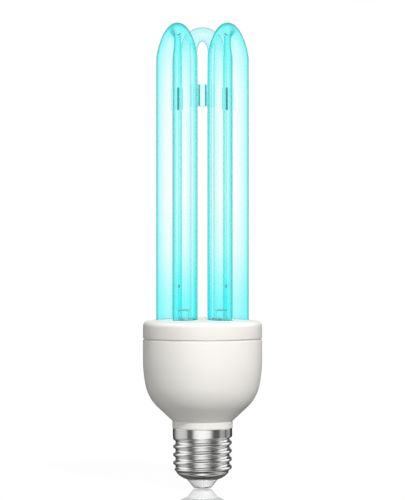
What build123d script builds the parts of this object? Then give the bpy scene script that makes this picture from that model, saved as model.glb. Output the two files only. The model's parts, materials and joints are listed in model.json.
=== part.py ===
from build123d import *
import math
import os

# Ultraviolet lamp: three U-bent glass tubes on a ballast housing with a screw cap.
# Millimetres. The origin is the middle of the centre contact's lower face, +Z is up the lamp.
# Seen from the front, along +Y, two U tubes stand side by side and the third stands behind them.

# Screw cap
CONTACT_RADIUS = 4.1
CONTACT_THICKNESS = 0.5
CONTACT_CHAMFER = 0.2
RIVET_RADIUS = 1.5
RIVET_HEAD_RADIUS = 2.6
RIVET_HEAD_THICKNESS = 0.6
TIP_RADIUS = 4.6
TIP_HEIGHT = 3.2
SHELL_MOUTH_RADIUS = 7.1
TAPER_HEIGHT = 2.9
TAPER_BULGE = 0.4
THREAD_PITCH = 3.629
THREAD_CREST_RADIUS = 13.1
THREAD_DEPTH = 1.1
THREAD_CREST_WIDTH = 1.0
THREAD_FLANK_RUN = 0.8
THREAD_HEIGHT = 16.3
THREAD_START_ANGLE = 205
THREAD_START_DEPTH = 0.28
THREAD_FADE_HEIGHT = 5.0
SKIRT_STEP = 0.15
SKIRT_HEIGHT = 3.7
SHEET = 0.3
INSULATOR_FLANGE_MARGIN = 1.5
INSULATOR_FLANGE_RISE = 1.2

# Housing
NECK_STEP = 0.18
NECK_HEIGHT = 3.08
SPIGOT_LENGTH = 3.2
SPIGOT_WALL = 1.1
SHOULDER_MARGIN = 5.95
BOWL_CONE_ANGLE = 47
BOWL_LOWER_ARC = 18.5
BOWL_UPPER_ANGLE = 11
BOWL_UPPER_ARC = 60
RIM_HEIGHT = 8.75
WALL = 1.6
RIB_COUNT = 3
RIB_FIRST_ANGLE = 90
RIB_THICKNESS = 1.4
RIB_REACH = 2.6
RIB_HEIGHT = 9

# Cover
SEAM_GAP = 0.5
SEAM_DEPTH = 0.4
COVER_HEIGHT = 9.95
COVER_CORNER = 2.2
DOME_RADIUS = 172
LIP_LENGTH = 4.2
LIP_WALL = 1.3
LIP_WEB = 1.5
BEAD_DROP = 2.4
BEAD_HEIGHT = 0.3
BEAD_HALF_WIDTH = 0.6

# Glass
TUBE_DIAMETER = 10.8
GLASS_WALL = 1.0
LEG_CIRCLE_RADIUS = 15.2
GLASS_HEIGHT = 130.45
BEND_TUBE_DIAMETER = 6.4
BEND_HEIGHT = 12.3
BEND_NARROWING = 1.2
BEND_SECTIONS = 16
LEG_SINK = 15.5
LEG_END_HEIGHT = 3
LEG_END_RADIUS = 3.2
BRIDGE_DIAMETER = 5.2
BRIDGE_WALL = 1.0
BRIDGE_RISE = 7.5
PINCH_WIDTH = 7
PINCH_THICKNESS = 2.6
PINCH_LENGTH = 4
PINCH_CORNER = 0.85

# Spacers between the legs of each U, measured down from the top of the glass
SPACER_HEIGHT = 9.9
SPACER_DEPTH = 3
FRONT_SPACER_DROP = 33.7
REAR_SPACER_DROP = 30.8

# Electrodes in the two front legs, measured up from the top of the cover
FILAMENT_RISE = 3.45
FILAMENT_RADIUS = 0.45
WIRE_RADIUS = 0.3
WIRE_FOOT_SPREAD = 2.4
WIRE_HEAD_SPREAD = 4.7
WIRE_HEAD_SHIFT = 0.9
WIRE_KNEE_DROP = 6
WIRE_KNEE_RADIUS = 4
PELLET_RISE = 13.95
PELLET_RADIUS = 0.8
PELLET_THICKNESS = 0.8
PELLET_ANGLE = 135

# Ballast, hung under the circuit board
BOARD_THICKNESS = 1.6
BOARD_DROP = 4.2
CHOKE_WIDTH = 14
CHOKE_DEPTH = 5
CHOKE_HEIGHT = 12
CHOKE_YOKE = 2.5
CHOKE_CENTRE_LEG = 4.5
CHOKE_OUTER_LEG = 2.25
CHOKE_PLACE = (-11, -5)
WINDING_THICKNESS = 2.1
WINDING_CORNER = 1.2
RING_RADIUS = 4.6
RING_BORE_RADIUS = 2.2
RING_HEIGHT = 4
RING_PLACE = (13.5, 9)
BULK_CAPACITOR_RADIUS = 5
BULK_CAPACITOR_HEIGHT = 16
BULK_CAPACITOR_CRIMP = 0.4
BULK_CAPACITOR_CRIMP_DROP = 2.5
BULK_CAPACITOR_PLACE = (0, 9)
FILM_CAPACITOR_SIZE = (10, 4.5, 9)
FILM_CAPACITOR_CORNER = 0.8
FILM_CAPACITOR_PLACES = [(11.5, -2.5), (11.5, -9.5)]
TRANSISTOR_RADIUS = 2.4
TRANSISTOR_FLAT = 1.2
TRANSISTOR_HEIGHT = 4.8
TRANSISTOR_PLACES = [(-12, 8), (-10.5, 14.5)]
DIODE_RADIUS = 1.35
DIODE_LENGTH = 5
DIODE_FIRST_PLACE = (-7.5, -15.2)
DIODE_SPACING = 4
DIODE_COUNT = 4
FUSE_RADIUS = 1.7
FUSE_LENGTH = 9
FUSE_PLACE = (0, 18)
LEAD_RADIUS = 0.7
LEAD_BEND_RADIUS = 6
LIVE_LEAD_PLACE = (0, -6)
NEUTRAL_LEAD_PLACE = (3, -8.5)
NEUTRAL_LEAD_ANGLE = -60
LEAD_STRAIGHT = 12
NEUTRAL_LEAD_TAIL = 6

# Clearances
MOUTH_CLEARANCE = 0.1
SEAT_CLEARANCE = 0.05
RIVET_CLEARANCE = 0.05
SPIGOT_CLEARANCE = 0.1
LIP_CLEARANCE = 0.1
BEAD_CLEARANCE = 0.1
LEG_CLEARANCE = 0.5
CEMENT_CLEARANCE = 0.03
SPACER_CLEARANCE = 0.03
WIRE_CLEARANCE = 0.03
FILAMENT_CLEARANCE = 0.1
PELLET_CLEARANCE = 0.02
BOARD_CLEARANCE = 0.4
WINDING_CLEARANCE = 0.15
LEAD_CLEARANCE = 0.1

# Heights worked out from the bottom upwards
SHELL_BOTTOM_Z = CONTACT_THICKNESS + TIP_HEIGHT
TAPER_TOP_Z = SHELL_BOTTOM_Z + TAPER_HEIGHT
SKIRT_BOTTOM_Z = TAPER_TOP_Z + THREAD_HEIGHT
SHELL_TOP_Z = SKIRT_BOTTOM_Z + SKIRT_HEIGHT
CONE_BOTTOM_Z = SHELL_TOP_Z + NECK_HEIGHT

TUBE_RADIUS = TUBE_DIAMETER / 2
BODY_RADIUS = LEG_CIRCLE_RADIUS + TUBE_RADIUS + SHOULDER_MARGIN
THREAD_ROOT_RADIUS = THREAD_CREST_RADIUS - THREAD_DEPTH
SKIRT_RADIUS = THREAD_CREST_RADIUS + SKIRT_STEP
NECK_RADIUS = SKIRT_RADIUS + NECK_STEP
SHELL_BORE_RADIUS = THREAD_ROOT_RADIUS - SHEET
SPIGOT_RADIUS = SKIRT_RADIUS - SHEET - SPIGOT_CLEARANCE
SPIGOT_BORE_RADIUS = SPIGOT_RADIUS - SPIGOT_WALL

CONE_TURN = math.radians(BOWL_CONE_ANGLE)
UPPER_TURN = math.radians(BOWL_UPPER_ANGLE)
UPPER_ARC_INSET = BOWL_UPPER_ARC * (1 - math.cos(UPPER_TURN))
LOWER_ARC_INSET = BOWL_LOWER_ARC * (math.cos(UPPER_TURN) - math.cos(CONE_TURN))
CONE_TOP_RADIUS = BODY_RADIUS - UPPER_ARC_INSET - LOWER_ARC_INSET
CONE_TOP_Z = CONE_BOTTOM_Z + (CONE_TOP_RADIUS - NECK_RADIUS) / math.tan(CONE_TURN)
LOWER_ARC_TOP_Z = CONE_TOP_Z + BOWL_LOWER_ARC * (math.sin(CONE_TURN) - math.sin(UPPER_TURN))
UPPER_ARC_TOP_Z = LOWER_ARC_TOP_Z + BOWL_UPPER_ARC * math.sin(UPPER_TURN)
SEAM_Z = UPPER_ARC_TOP_Z + RIM_HEIGHT
COVER_TOP_Z = SEAM_Z + COVER_HEIGHT
LIP_RADIUS = BODY_RADIUS - WALL - LIP_CLEARANCE
BEAD_Z = SEAM_Z - BEAD_DROP

LEG_BOTTOM_Z = COVER_TOP_Z - LEG_SINK
LEG_BORE_BOTTOM_Z = LEG_BOTTOM_Z + LEG_END_HEIGHT
GLASS_TOP_Z = COVER_TOP_Z + GLASS_HEIGHT
BEND_RADIUS = LEG_CIRCLE_RADIUS / 2
BEND_TUBE_RADIUS = BEND_TUBE_DIAMETER / 2
BEND_Z = GLASS_TOP_Z - BEND_TUBE_RADIUS - BEND_HEIGHT
BORE_RADIUS = TUBE_RADIUS - GLASS_WALL
HOLE_RADIUS = TUBE_RADIUS + LEG_CLEARANCE
PINCH_BOTTOM_Z = LEG_BOTTOM_Z - PINCH_LENGTH
BOARD_Z = PINCH_BOTTOM_Z - BOARD_DROP
BOARD_TOP_Z = BOARD_Z + BOARD_THICKNESS
FILAMENT_Z = COVER_TOP_Z + FILAMENT_RISE

# Six legs on a hexagon, and the pairs that the bends and the bridges join
LEG_TURN = 360 / 6
LEGS = [Vector(LEG_CIRCLE_RADIUS, 0).rotate(Axis.Z, LEG_TURN * place) for place in range(6)]
RIGHT_LEG, REAR_RIGHT_LEG, REAR_LEFT_LEG, LEFT_LEG, FRONT_LEFT_LEG, FRONT_RIGHT_LEG = LEGS
U_PAIRS = {
    "left": (LEFT_LEG, FRONT_LEFT_LEG),
    "right": (RIGHT_LEG, FRONT_RIGHT_LEG),
    "rear": (REAR_LEFT_LEG, REAR_RIGHT_LEG),
}
BRIDGE_PAIRS = [(LEFT_LEG, REAR_LEFT_LEG), (RIGHT_LEG, REAR_RIGHT_LEG)]
FRONT_LEGS = {"left": FRONT_LEFT_LEG, "right": FRONT_RIGHT_LEG}
STAND = (Align.CENTER, Align.CENTER, Align.MIN)
HANG = (Align.CENTER, Align.CENTER, Align.MAX)


def turned(*edges):
    """A solid of revolution about the lamp's axis from edges drawn as (radius, height)."""
    return revolve(Plane.XZ * make_face(edges), Axis.Z)


def at(place, z):
    """A location above a plan position."""
    x, y = tuple(place)[:2]
    return Pos(x, y, z)


def centre_contact():
    """Button with a rivet stem through the insulator and a head that clamps it."""
    head_bottom_z = insulator_top_z()
    outline = Polyline(
        (0, 0),
        (CONTACT_RADIUS - CONTACT_CHAMFER, 0),
        (CONTACT_RADIUS, CONTACT_CHAMFER),
        (CONTACT_RADIUS, CONTACT_THICKNESS),
        (RIVET_RADIUS, CONTACT_THICKNESS),
        (RIVET_RADIUS, head_bottom_z),
        (RIVET_HEAD_RADIUS, head_bottom_z),
        (RIVET_HEAD_RADIUS, rivet_top_z()),
        (0, rivet_top_z()),
        close=True,
    )
    return turned(outline)


def insulator_top_z():
    """Height of the insulator's flange, inside the shell."""
    return TAPER_TOP_Z + INSULATOR_FLANGE_RISE


def rivet_top_z():
    """Height of the rivet's head, where the live lead ends."""
    return insulator_top_z() + RIVET_HEAD_THICKNESS


def shell_seat_z(radius):
    """Height of the shell's inner conical floor, on which the insulator's flange sits."""
    slope = TAPER_HEIGHT / (SHELL_BORE_RADIUS - SHELL_MOUTH_RADIUS)
    return SHELL_BOTTOM_Z + SHEET + slope * (radius - SHELL_MOUTH_RADIUS)


def insulator():
    """Frustum below the shell, with a flange that sits on the shell's closed-in floor."""
    neck_radius = SHELL_MOUTH_RADIUS - MOUTH_CLEARANCE
    flange_radius = SHELL_BORE_RADIUS - INSULATOR_FLANGE_MARGIN
    bore_radius = RIVET_RADIUS + RIVET_CLEARANCE
    outline = Polyline(
        (bore_radius, CONTACT_THICKNESS),
        (TIP_RADIUS, CONTACT_THICKNESS),
        (neck_radius, SHELL_BOTTOM_Z),
        (neck_radius, shell_seat_z(neck_radius) + SEAT_CLEARANCE),
        (flange_radius, shell_seat_z(flange_radius) + SEAT_CLEARANCE),
        (flange_radius, insulator_top_z()),
        (bore_radius, insulator_top_z()),
        close=True,
    )
    return turned(outline)


def thread_ridge():
    """Right-hand helical ridge, sunk into the barrel and rising into the skirt."""
    sink = SHEET / 2
    crest_half = THREAD_CREST_WIDTH / 2
    deep_radius = THREAD_ROOT_RADIUS - sink
    deep_half = crest_half + THREAD_FLANK_RUN * (1 + sink / THREAD_DEPTH)
    start_z = TAPER_TOP_Z + deep_half
    end_z = SKIRT_BOTTOM_Z + SKIRT_HEIGHT / 2 - crest_half
    section = Polyline(
        (deep_radius, -deep_half),
        (THREAD_CREST_RADIUS, -crest_half),
        (THREAD_CREST_RADIUS, crest_half),
        (deep_radius, deep_half),
        close=True,
    )
    path = Helix(THREAD_PITCH, end_z - start_z, THREAD_ROOT_RADIUS)
    ridge = sweep(Plane.XZ * make_face(section), Wire([path]), is_frenet=True)
    return Pos(0, 0, start_z) * ridge


def thread_fade():
    """The envelope in which the thread fades out above the closed-in floor."""
    start_radius = THREAD_ROOT_RADIUS + THREAD_START_DEPTH
    outside_radius = SKIRT_RADIUS + SHEET
    rate = THREAD_FADE_HEIGHT / THREAD_DEPTH
    outline = Polyline(
        (0, SHELL_BOTTOM_Z),
        (start_radius, SHELL_BOTTOM_Z),
        (start_radius, TAPER_TOP_Z),
        (outside_radius, TAPER_TOP_Z + rate * (outside_radius - start_radius)),
        (outside_radius, SHELL_TOP_Z + SHEET),
        (0, SHELL_TOP_Z + SHEET),
        close=True,
    )
    return turned(outline)


def shell_bore():
    """The space inside the cap sheet."""
    skirt_bore_radius = SKIRT_RADIUS - SHEET
    outline = Polyline(
        (0, 0),
        (SHELL_MOUTH_RADIUS, 0),
        (SHELL_MOUTH_RADIUS, shell_seat_z(SHELL_MOUTH_RADIUS)),
        (SHELL_BORE_RADIUS, shell_seat_z(SHELL_BORE_RADIUS)),
        (SHELL_BORE_RADIUS, SKIRT_BOTTOM_Z + SHEET),
        (skirt_bore_radius, SKIRT_BOTTOM_Z + SHEET),
        (skirt_bore_radius, SHELL_TOP_Z + SHEET),
        (0, SHELL_TOP_Z + SHEET),
        close=True,
    )
    return turned(outline)


def screw_shell():
    """Cap sheet: closed-in floor with a mouth, helical thread and plain skirt."""
    barrel_height = SHELL_TOP_Z - TAPER_TOP_Z
    barrel = Pos(0, 0, TAPER_TOP_Z) * Cylinder(THREAD_ROOT_RADIUS, barrel_height, align=STAND)
    skirt = Pos(0, 0, SKIRT_BOTTOM_Z) * Cylinder(SKIRT_RADIUS, SKIRT_HEIGHT, align=STAND)
    mouth = (SHELL_MOUTH_RADIUS, SHELL_BOTTOM_Z)
    edge = (THREAD_ROOT_RADIUS, TAPER_TOP_Z)
    floor = turned(
        SagittaArc(mouth, edge, -TAPER_BULGE),
        Polyline(edge, (0, TAPER_TOP_Z), (0, SHELL_BOTTOM_Z), mouth),
    )
    threaded = (barrel + thread_ridge() + skirt) & thread_fade()
    return Rot(0, 0, THREAD_START_ANGLE) * (threaded + floor - shell_bore())


def bowl_point(arc_radius, centre, angle):
    """A point of an arc at an angle below the level of its centre, as (radius, height)."""
    return (centre[0] + arc_radius * math.cos(angle), centre[1] - arc_radius * math.sin(angle))


def bowl_centres():
    """The centres of the bowl's upper and lower arcs, which meet tangent to each other."""
    upper_centre = (BODY_RADIUS - BOWL_UPPER_ARC, UPPER_ARC_TOP_Z)
    arcs_meet = bowl_point(BOWL_UPPER_ARC, upper_centre, UPPER_TURN)
    return upper_centre, bowl_point(-BOWL_LOWER_ARC, arcs_meet, UPPER_TURN)


def bowl_edges(inset, foot_radius):
    """The bowl's outline from its foot up to the rim, at an inset from its outer face."""
    upper_centre, lower_centre = bowl_centres()
    upper = BOWL_UPPER_ARC - inset
    lower = BOWL_LOWER_ARC - inset
    cone_top = bowl_point(lower, lower_centre, CONE_TURN)
    lower_middle = bowl_point(lower, lower_centre, (CONE_TURN + UPPER_TURN) / 2)
    lower_end = bowl_point(lower, lower_centre, UPPER_TURN)
    upper_middle = bowl_point(upper, upper_centre, UPPER_TURN / 2)
    wall_bottom = (BODY_RADIUS - inset, UPPER_ARC_TOP_Z)
    foot = (foot_radius, cone_top[1] - (cone_top[0] - foot_radius) / math.tan(CONE_TURN))
    return foot, [
        Line(foot, cone_top),
        ThreePointArc(cone_top, lower_middle, lower_end),
        ThreePointArc(lower_end, upper_middle, wall_bottom),
    ]


def bowl_inner_radius(z):
    """Radius of the bowl's inner face at a height on its rim or its arcs."""
    upper_centre, lower_centre = bowl_centres()
    upper = BOWL_UPPER_ARC - WALL
    lower = BOWL_LOWER_ARC - WALL
    if z > UPPER_ARC_TOP_Z:
        return BODY_RADIUS - WALL
    if z > bowl_point(upper, upper_centre, UPPER_TURN)[1]:
        return upper_centre[0] + math.sqrt(upper**2 - (upper_centre[1] - z) ** 2)
    return lower_centre[0] + math.sqrt(lower**2 - (lower_centre[1] - z) ** 2)


def base_housing():
    """Bowl with a neck, a spigot that plugs the cap, a snap groove and ribs for the board."""
    foot, outer_edges = bowl_edges(0, NECK_RADIUS)
    spigot_bottom_z = SHELL_TOP_Z - SPIGOT_LENGTH
    outer = turned(
        *outer_edges,
        Polyline(
            (BODY_RADIUS, UPPER_ARC_TOP_Z),
            (BODY_RADIUS, SEAM_Z),
            (0, SEAM_Z),
            (0, spigot_bottom_z),
            (SPIGOT_RADIUS, spigot_bottom_z),
            (SPIGOT_RADIUS, SHELL_TOP_Z),
            (NECK_RADIUS, SHELL_TOP_Z),
            foot,
        ),
    )
    inner_foot, inner_edges = bowl_edges(WALL, SPIGOT_BORE_RADIUS)
    inner_radius = BODY_RADIUS - WALL
    groove_half = BEAD_HALF_WIDTH + BEAD_CLEARANCE
    cavity = turned(
        *inner_edges,
        Polyline(
            (inner_radius, UPPER_ARC_TOP_Z),
            (inner_radius, BEAD_Z - groove_half),
            (inner_radius + BEAD_HEIGHT, BEAD_Z),
            (inner_radius, BEAD_Z + groove_half),
            (inner_radius, SEAM_Z + WALL),
            (0, SEAM_Z + WALL),
            (0, spigot_bottom_z - WALL),
            (SPIGOT_BORE_RADIUS, spigot_bottom_z - WALL),
            inner_foot,
        ),
    )
    rib = Pos(bowl_inner_radius(BOARD_Z) - RIB_REACH, 0, BOARD_Z) * Box(
        RIB_REACH + WALL, RIB_THICKNESS, RIB_HEIGHT, align=(Align.MIN, Align.CENTER, Align.MAX)
    )
    ribs = PolarLocations(0, RIB_COUNT, start_angle=RIB_FIRST_ANGLE) * rib
    return (outer - cavity) + [rib & outer for rib in ribs]


def dome_point(sphere_radius, radius):
    """A point of the cover's dome, or of a sphere about the same centre, as (radius, height)."""
    rise = math.sqrt(sphere_radius**2 - radius**2)
    return (radius, COVER_TOP_Z - DOME_RADIUS + rise)


def cover_outer_edges():
    """The cover's domed top and the rounded corner that runs tangent into its wall."""
    corner_radius = BODY_RADIUS - COVER_CORNER
    corner_centre = dome_point(DOME_RADIUS - COVER_CORNER, corner_radius)
    dome_end_radius = corner_radius * DOME_RADIUS / (DOME_RADIUS - COVER_CORNER)
    dome_end = dome_point(DOME_RADIUS, dome_end_radius)
    tilt = math.acos((dome_end_radius - corner_radius) / COVER_CORNER)
    corner_middle = (
        corner_radius + COVER_CORNER * math.cos(tilt / 2),
        corner_centre[1] + COVER_CORNER * math.sin(tilt / 2),
    )
    wall_top = (BODY_RADIUS, corner_centre[1])
    top = dome_point(DOME_RADIUS, 0)
    return top, wall_top, [
        ThreePointArc(top, dome_point(DOME_RADIUS, dome_end_radius / 2), dome_end),
        ThreePointArc(dome_end, corner_middle, wall_top),
    ]


def tube_cover():
    """Domed lid with six leg holes and a lip that snaps into the bowl."""
    top, wall_top, outer_edges = cover_outer_edges()
    inner_radius = BODY_RADIUS - WALL
    inner_sphere = DOME_RADIUS - WALL
    inner_top = dome_point(inner_sphere, 0)
    inner_corner = dome_point(inner_sphere, inner_radius)
    lip_inner_radius = LIP_RADIUS - LIP_WALL
    web_top_z = SEAM_Z + LIP_WEB
    lip_bottom_z = SEAM_Z - LIP_LENGTH
    lid = turned(
        *outer_edges,
        Polyline(
            wall_top,
            (BODY_RADIUS, SEAM_Z + SEAM_GAP),
            (BODY_RADIUS - SEAM_DEPTH, SEAM_Z + SEAM_GAP),
            (BODY_RADIUS - SEAM_DEPTH, SEAM_Z),
            (LIP_RADIUS, SEAM_Z),
            (LIP_RADIUS, BEAD_Z + BEAD_HALF_WIDTH),
            (LIP_RADIUS + BEAD_HEIGHT, BEAD_Z),
            (LIP_RADIUS, BEAD_Z - BEAD_HALF_WIDTH),
            (LIP_RADIUS, lip_bottom_z),
            (lip_inner_radius, lip_bottom_z),
            (lip_inner_radius, web_top_z),
            (inner_radius, web_top_z),
            inner_corner,
        ),
        ThreePointArc(inner_corner, dome_point(inner_sphere, inner_radius / 2), inner_top),
        Line(inner_top, top),
    )
    hole = Cylinder(HOLE_RADIUS, COVER_HEIGHT, align=HANG)
    return lid - [at(leg, COVER_TOP_Z + WALL) * hole for leg in LEGS]


def tube_cement():
    """A ring of cement round each leg, filling the gap in its hole."""
    ring = Cylinder(HOLE_RADIUS - CEMENT_CLEARANCE, WALL, align=STAND) - Cylinder(
        TUBE_RADIUS + CEMENT_CLEARANCE, WALL, align=STAND
    )
    leg_dome_drop = DOME_RADIUS - math.sqrt(DOME_RADIUS**2 - LEG_CIRCLE_RADIUS**2)
    ring_bottom_z = COVER_TOP_Z - leg_dome_drop - WALL - SEAM_GAP
    return [at(leg, ring_bottom_z) * ring for leg in LEGS]


def u_bend(pair, leg_radius, top_radius, bottom_z):
    """Solid rods for two legs and for the bend that joins them, which narrows to its top."""
    first, second = pair
    up = Vector(0, 0, 1)
    middle = (first + second) / 2
    out = (first - second).normalized()
    sections = []
    for step in range(BEND_SECTIONS + 1):
        turn = math.pi * step / BEND_SECTIONS
        rise = BEND_Z + BEND_HEIGHT * math.sin(turn)
        place = middle + out * (BEND_RADIUS * math.cos(turn)) + up * rise
        along = up * (BEND_HEIGHT * math.cos(turn)) - out * (BEND_RADIUS * math.sin(turn))
        narrowing = (leg_radius - top_radius) * math.sin(turn) ** BEND_NARROWING
        plane = Plane(place, x_dir=out.cross(up), z_dir=along)
        sections.append(plane * Circle(leg_radius - narrowing))
    leg = Cylinder(leg_radius, BEND_Z - bottom_z, align=STAND)
    return [loft(sections)] + [at(place, bottom_z) * leg for place in pair]


def bridge(pair, radius):
    """A short rod between the axes of two neighbouring legs."""
    first, second = pair
    plane = Plane(first + Vector(0, 0, LEG_BOTTOM_Z + BRIDGE_RISE), z_dir=second - first)
    return extrude(plane * Circle(radius), (second - first).length)


def wire_heads_middle(leg):
    """The middle of the two wires' heads, which lean away from the other front leg."""
    return leg + Vector(math.copysign(WIRE_HEAD_SHIFT, leg.X), 0)


def wire_places(middle, spread):
    """The plan positions of two wires about their middle."""
    return [middle + Vector(side * spread / 2, 0) for side in (-1, 1)]


def discharge_tube():
    """Three hollow U bends, closed at their feet, bridged into one path, pressed round the wires."""
    tube = []
    hollow = []
    for pair in U_PAIRS.values():
        tube += u_bend(pair, TUBE_RADIUS, BEND_TUBE_RADIUS, LEG_BORE_BOTTOM_Z)
        hollow += u_bend(pair, BORE_RADIUS, BEND_TUBE_RADIUS - GLASS_WALL, LEG_BORE_BOTTOM_Z)
    foot = Cone(LEG_END_RADIUS, TUBE_RADIUS, LEG_END_HEIGHT, align=STAND)
    tube += [at(leg, LEG_BOTTOM_Z) * foot for leg in LEGS]
    tube += [bridge(pair, BRIDGE_DIAMETER / 2) for pair in BRIDGE_PAIRS]
    pinch = Box(PINCH_WIDTH, PINCH_THICKNESS, PINCH_LENGTH + LEG_END_HEIGHT / 2, align=STAND)
    pinch = fillet(pinch.edges().filter_by(Axis.Z), PINCH_CORNER)
    tube += [at(leg, PINCH_BOTTOM_Z) * pinch for leg in FRONT_LEGS.values()]
    hollow += [bridge(pair, BRIDGE_DIAMETER / 2 - BRIDGE_WALL) for pair in BRIDGE_PAIRS]
    wire_hole = Cylinder(
        WIRE_RADIUS + WIRE_CLEARANCE, PINCH_LENGTH + 2 * LEG_END_HEIGHT, align=STAND
    )
    hollow += [
        at(place, PINCH_BOTTOM_Z) * wire_hole
        for leg in FRONT_LEGS.values()
        for place in wire_places(leg, WIRE_FOOT_SPREAD)
    ]
    return Part() + tube - hollow


def spacer(pair, drop):
    """A silicone block with a hollow on each side, held between the two legs of a U."""
    first, second = pair
    plane = Plane((first + second) / 2, x_dir=second - first, z_dir=(0, 0, 1))
    block = plane * Box((second - first).length, SPACER_DEPTH, SPACER_HEIGHT)
    hollow = Cylinder(TUBE_RADIUS + SPACER_CLEARANCE, 2 * SPACER_HEIGHT)
    block -= [at(first, 0) * hollow, at(second, 0) * hollow]
    return Pos(0, 0, GLASS_TOP_Z - drop) * block


def filament(leg):
    """The coil's envelope, laid across the heads of its two lead wires."""
    coil = Cylinder(FILAMENT_RADIUS, WIRE_HEAD_SPREAD + 2 * WIRE_RADIUS, rotation=(0, 90, 0))
    return at(wire_heads_middle(leg), FILAMENT_Z) * coil


def lead_wires(leg):
    """Two wires that stand on the board, pass the pinch and spread to the filament."""
    feet = wire_places(leg, WIRE_FOOT_SPREAD)
    heads = wire_places(wire_heads_middle(leg), WIRE_HEAD_SPREAD)
    wires = []
    for foot, head in zip(feet, heads):
        start = foot + Vector(0, 0, BOARD_TOP_Z)
        knee = foot + Vector(0, 0, FILAMENT_Z - WIRE_KNEE_DROP)
        end = head + Vector(0, 0, FILAMENT_Z - FILAMENT_RADIUS - FILAMENT_CLEARANCE)
        path = FilletPolyline(start, knee, end, radius=WIRE_KNEE_RADIUS)
        wires.append(sweep(Plane(start, z_dir=(0, 0, 1)) * Circle(WIRE_RADIUS), path))
    return wires


def amalgam_pellets():
    """A drop on the inner wall of each front leg, on the side away from the other leg."""
    reach = math.sqrt((BORE_RADIUS - PELLET_CLEARANCE) ** 2 - PELLET_RADIUS**2)
    pellets = []
    for leg, angle in ((FRONT_LEFT_LEG, PELLET_ANGLE), (FRONT_RIGHT_LEG, 180 - PELLET_ANGLE)):
        outward = Vector(1, 0).rotate(Axis.Z, angle)
        face = Plane(leg + outward * reach, z_dir=-outward) * Circle(PELLET_RADIUS)
        pellets.append(Pos(0, 0, COVER_TOP_Z + PELLET_RISE) * extrude(face, PELLET_THICKNESS))
    return pellets


def circuit_board():
    """A round board that rests on the housing's ribs."""
    radius = bowl_inner_radius(BOARD_Z) - BOARD_CLEARANCE
    return Pos(0, 0, BOARD_Z) * Cylinder(radius, BOARD_THICKNESS, align=STAND)


def choke_core():
    """Two E halves of ferrite drawn as the closed frame that they make."""
    window_width = CHOKE_WIDTH / 2 - CHOKE_CENTRE_LEG / 2 - CHOKE_OUTER_LEG
    window_offset = CHOKE_CENTRE_LEG / 2 + window_width / 2
    window = Box(window_width, CHOKE_DEPTH, CHOKE_HEIGHT - 2 * CHOKE_YOKE)
    frame = Box(CHOKE_WIDTH, CHOKE_DEPTH, CHOKE_HEIGHT)
    frame -= [Pos(side * window_offset, 0, 0) * window for side in (-1, 1)]
    return at(CHOKE_PLACE, BOARD_Z - CHOKE_HEIGHT / 2) * frame


def choke_winding():
    """The wound bobbin round the core's centre leg."""
    hole_width = CHOKE_CENTRE_LEG + 2 * WINDING_CLEARANCE
    hole_depth = CHOKE_DEPTH + 2 * WINDING_CLEARANCE
    turns = RectangleRounded(
        hole_width + 2 * WINDING_THICKNESS, hole_depth + 2 * WINDING_THICKNESS, WINDING_CORNER
    )
    turns -= Rectangle(hole_width, hole_depth)
    height = CHOKE_HEIGHT - 2 * CHOKE_YOKE - 2 * WINDING_CLEARANCE
    bottom_z = BOARD_Z - CHOKE_HEIGHT + CHOKE_YOKE + WINDING_CLEARANCE
    return at(CHOKE_PLACE, bottom_z) * extrude(turns, height)


def drive_ring():
    """A small ferrite ring under the board."""
    ring = Cylinder(RING_RADIUS, RING_HEIGHT, align=HANG)
    ring -= Cylinder(RING_BORE_RADIUS, RING_HEIGHT, align=HANG)
    return at(RING_PLACE, BOARD_Z) * ring


def bulk_capacitor():
    """An electrolytic can with a crimped groove near the board."""
    crimp_z = -BULK_CAPACITOR_CRIMP_DROP
    waist = BULK_CAPACITOR_RADIUS - BULK_CAPACITOR_CRIMP
    can = turned(
        Polyline(
            (0, 0),
            (BULK_CAPACITOR_RADIUS, 0),
            (BULK_CAPACITOR_RADIUS, crimp_z + BULK_CAPACITOR_CRIMP),
            (waist, crimp_z),
            (BULK_CAPACITOR_RADIUS, crimp_z - BULK_CAPACITOR_CRIMP),
            (BULK_CAPACITOR_RADIUS, BULK_CAPACITOR_CRIMP - BULK_CAPACITOR_HEIGHT),
            (waist, -BULK_CAPACITOR_HEIGHT),
            (0, -BULK_CAPACITOR_HEIGHT),
            close=True,
        )
    )
    return at(BULK_CAPACITOR_PLACE, BOARD_Z) * can


def film_capacitors():
    """Two dipped film capacitors."""
    width, depth, height = FILM_CAPACITOR_SIZE
    body = extrude(RectangleRounded(width, depth, FILM_CAPACITOR_CORNER), -height)
    return [at(place, BOARD_Z) * body for place in FILM_CAPACITOR_PLACES]


def transistors():
    """Two moulded transistors with one flat side."""
    flat = Pos(0, TRANSISTOR_FLAT) * Rectangle(
        2 * TRANSISTOR_RADIUS, TRANSISTOR_RADIUS, align=(Align.CENTER, Align.MIN)
    )
    body = extrude(Circle(TRANSISTOR_RADIUS) - flat, -TRANSISTOR_HEIGHT)
    return [at(place, BOARD_Z) * body for place in TRANSISTOR_PLACES]


def rectifier_diodes():
    """A row of diodes that lie against the board."""
    body = Cylinder(DIODE_RADIUS, DIODE_LENGTH, rotation=(90, 0, 0))
    first_x, y = DIODE_FIRST_PLACE
    places = [(first_x + number * DIODE_SPACING, y) for number in range(DIODE_COUNT)]
    return [at(place, BOARD_Z - DIODE_RADIUS) * body for place in places]


def fuse_resistor():
    """The input resistor that doubles as a fuse, lying against the board."""
    body = Cylinder(FUSE_RADIUS, FUSE_LENGTH, rotation=(0, 90, 0))
    return at(FUSE_PLACE, BOARD_Z - FUSE_RADIUS) * body


def supply_lead(points):
    """An insulated wire along straight runs joined by bends."""
    path = FilletPolyline(*points, radius=LEAD_BEND_RADIUS)
    return sweep(Plane(points[0], z_dir=(0, 0, -1)) * Circle(LEAD_RADIUS), path)


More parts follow.
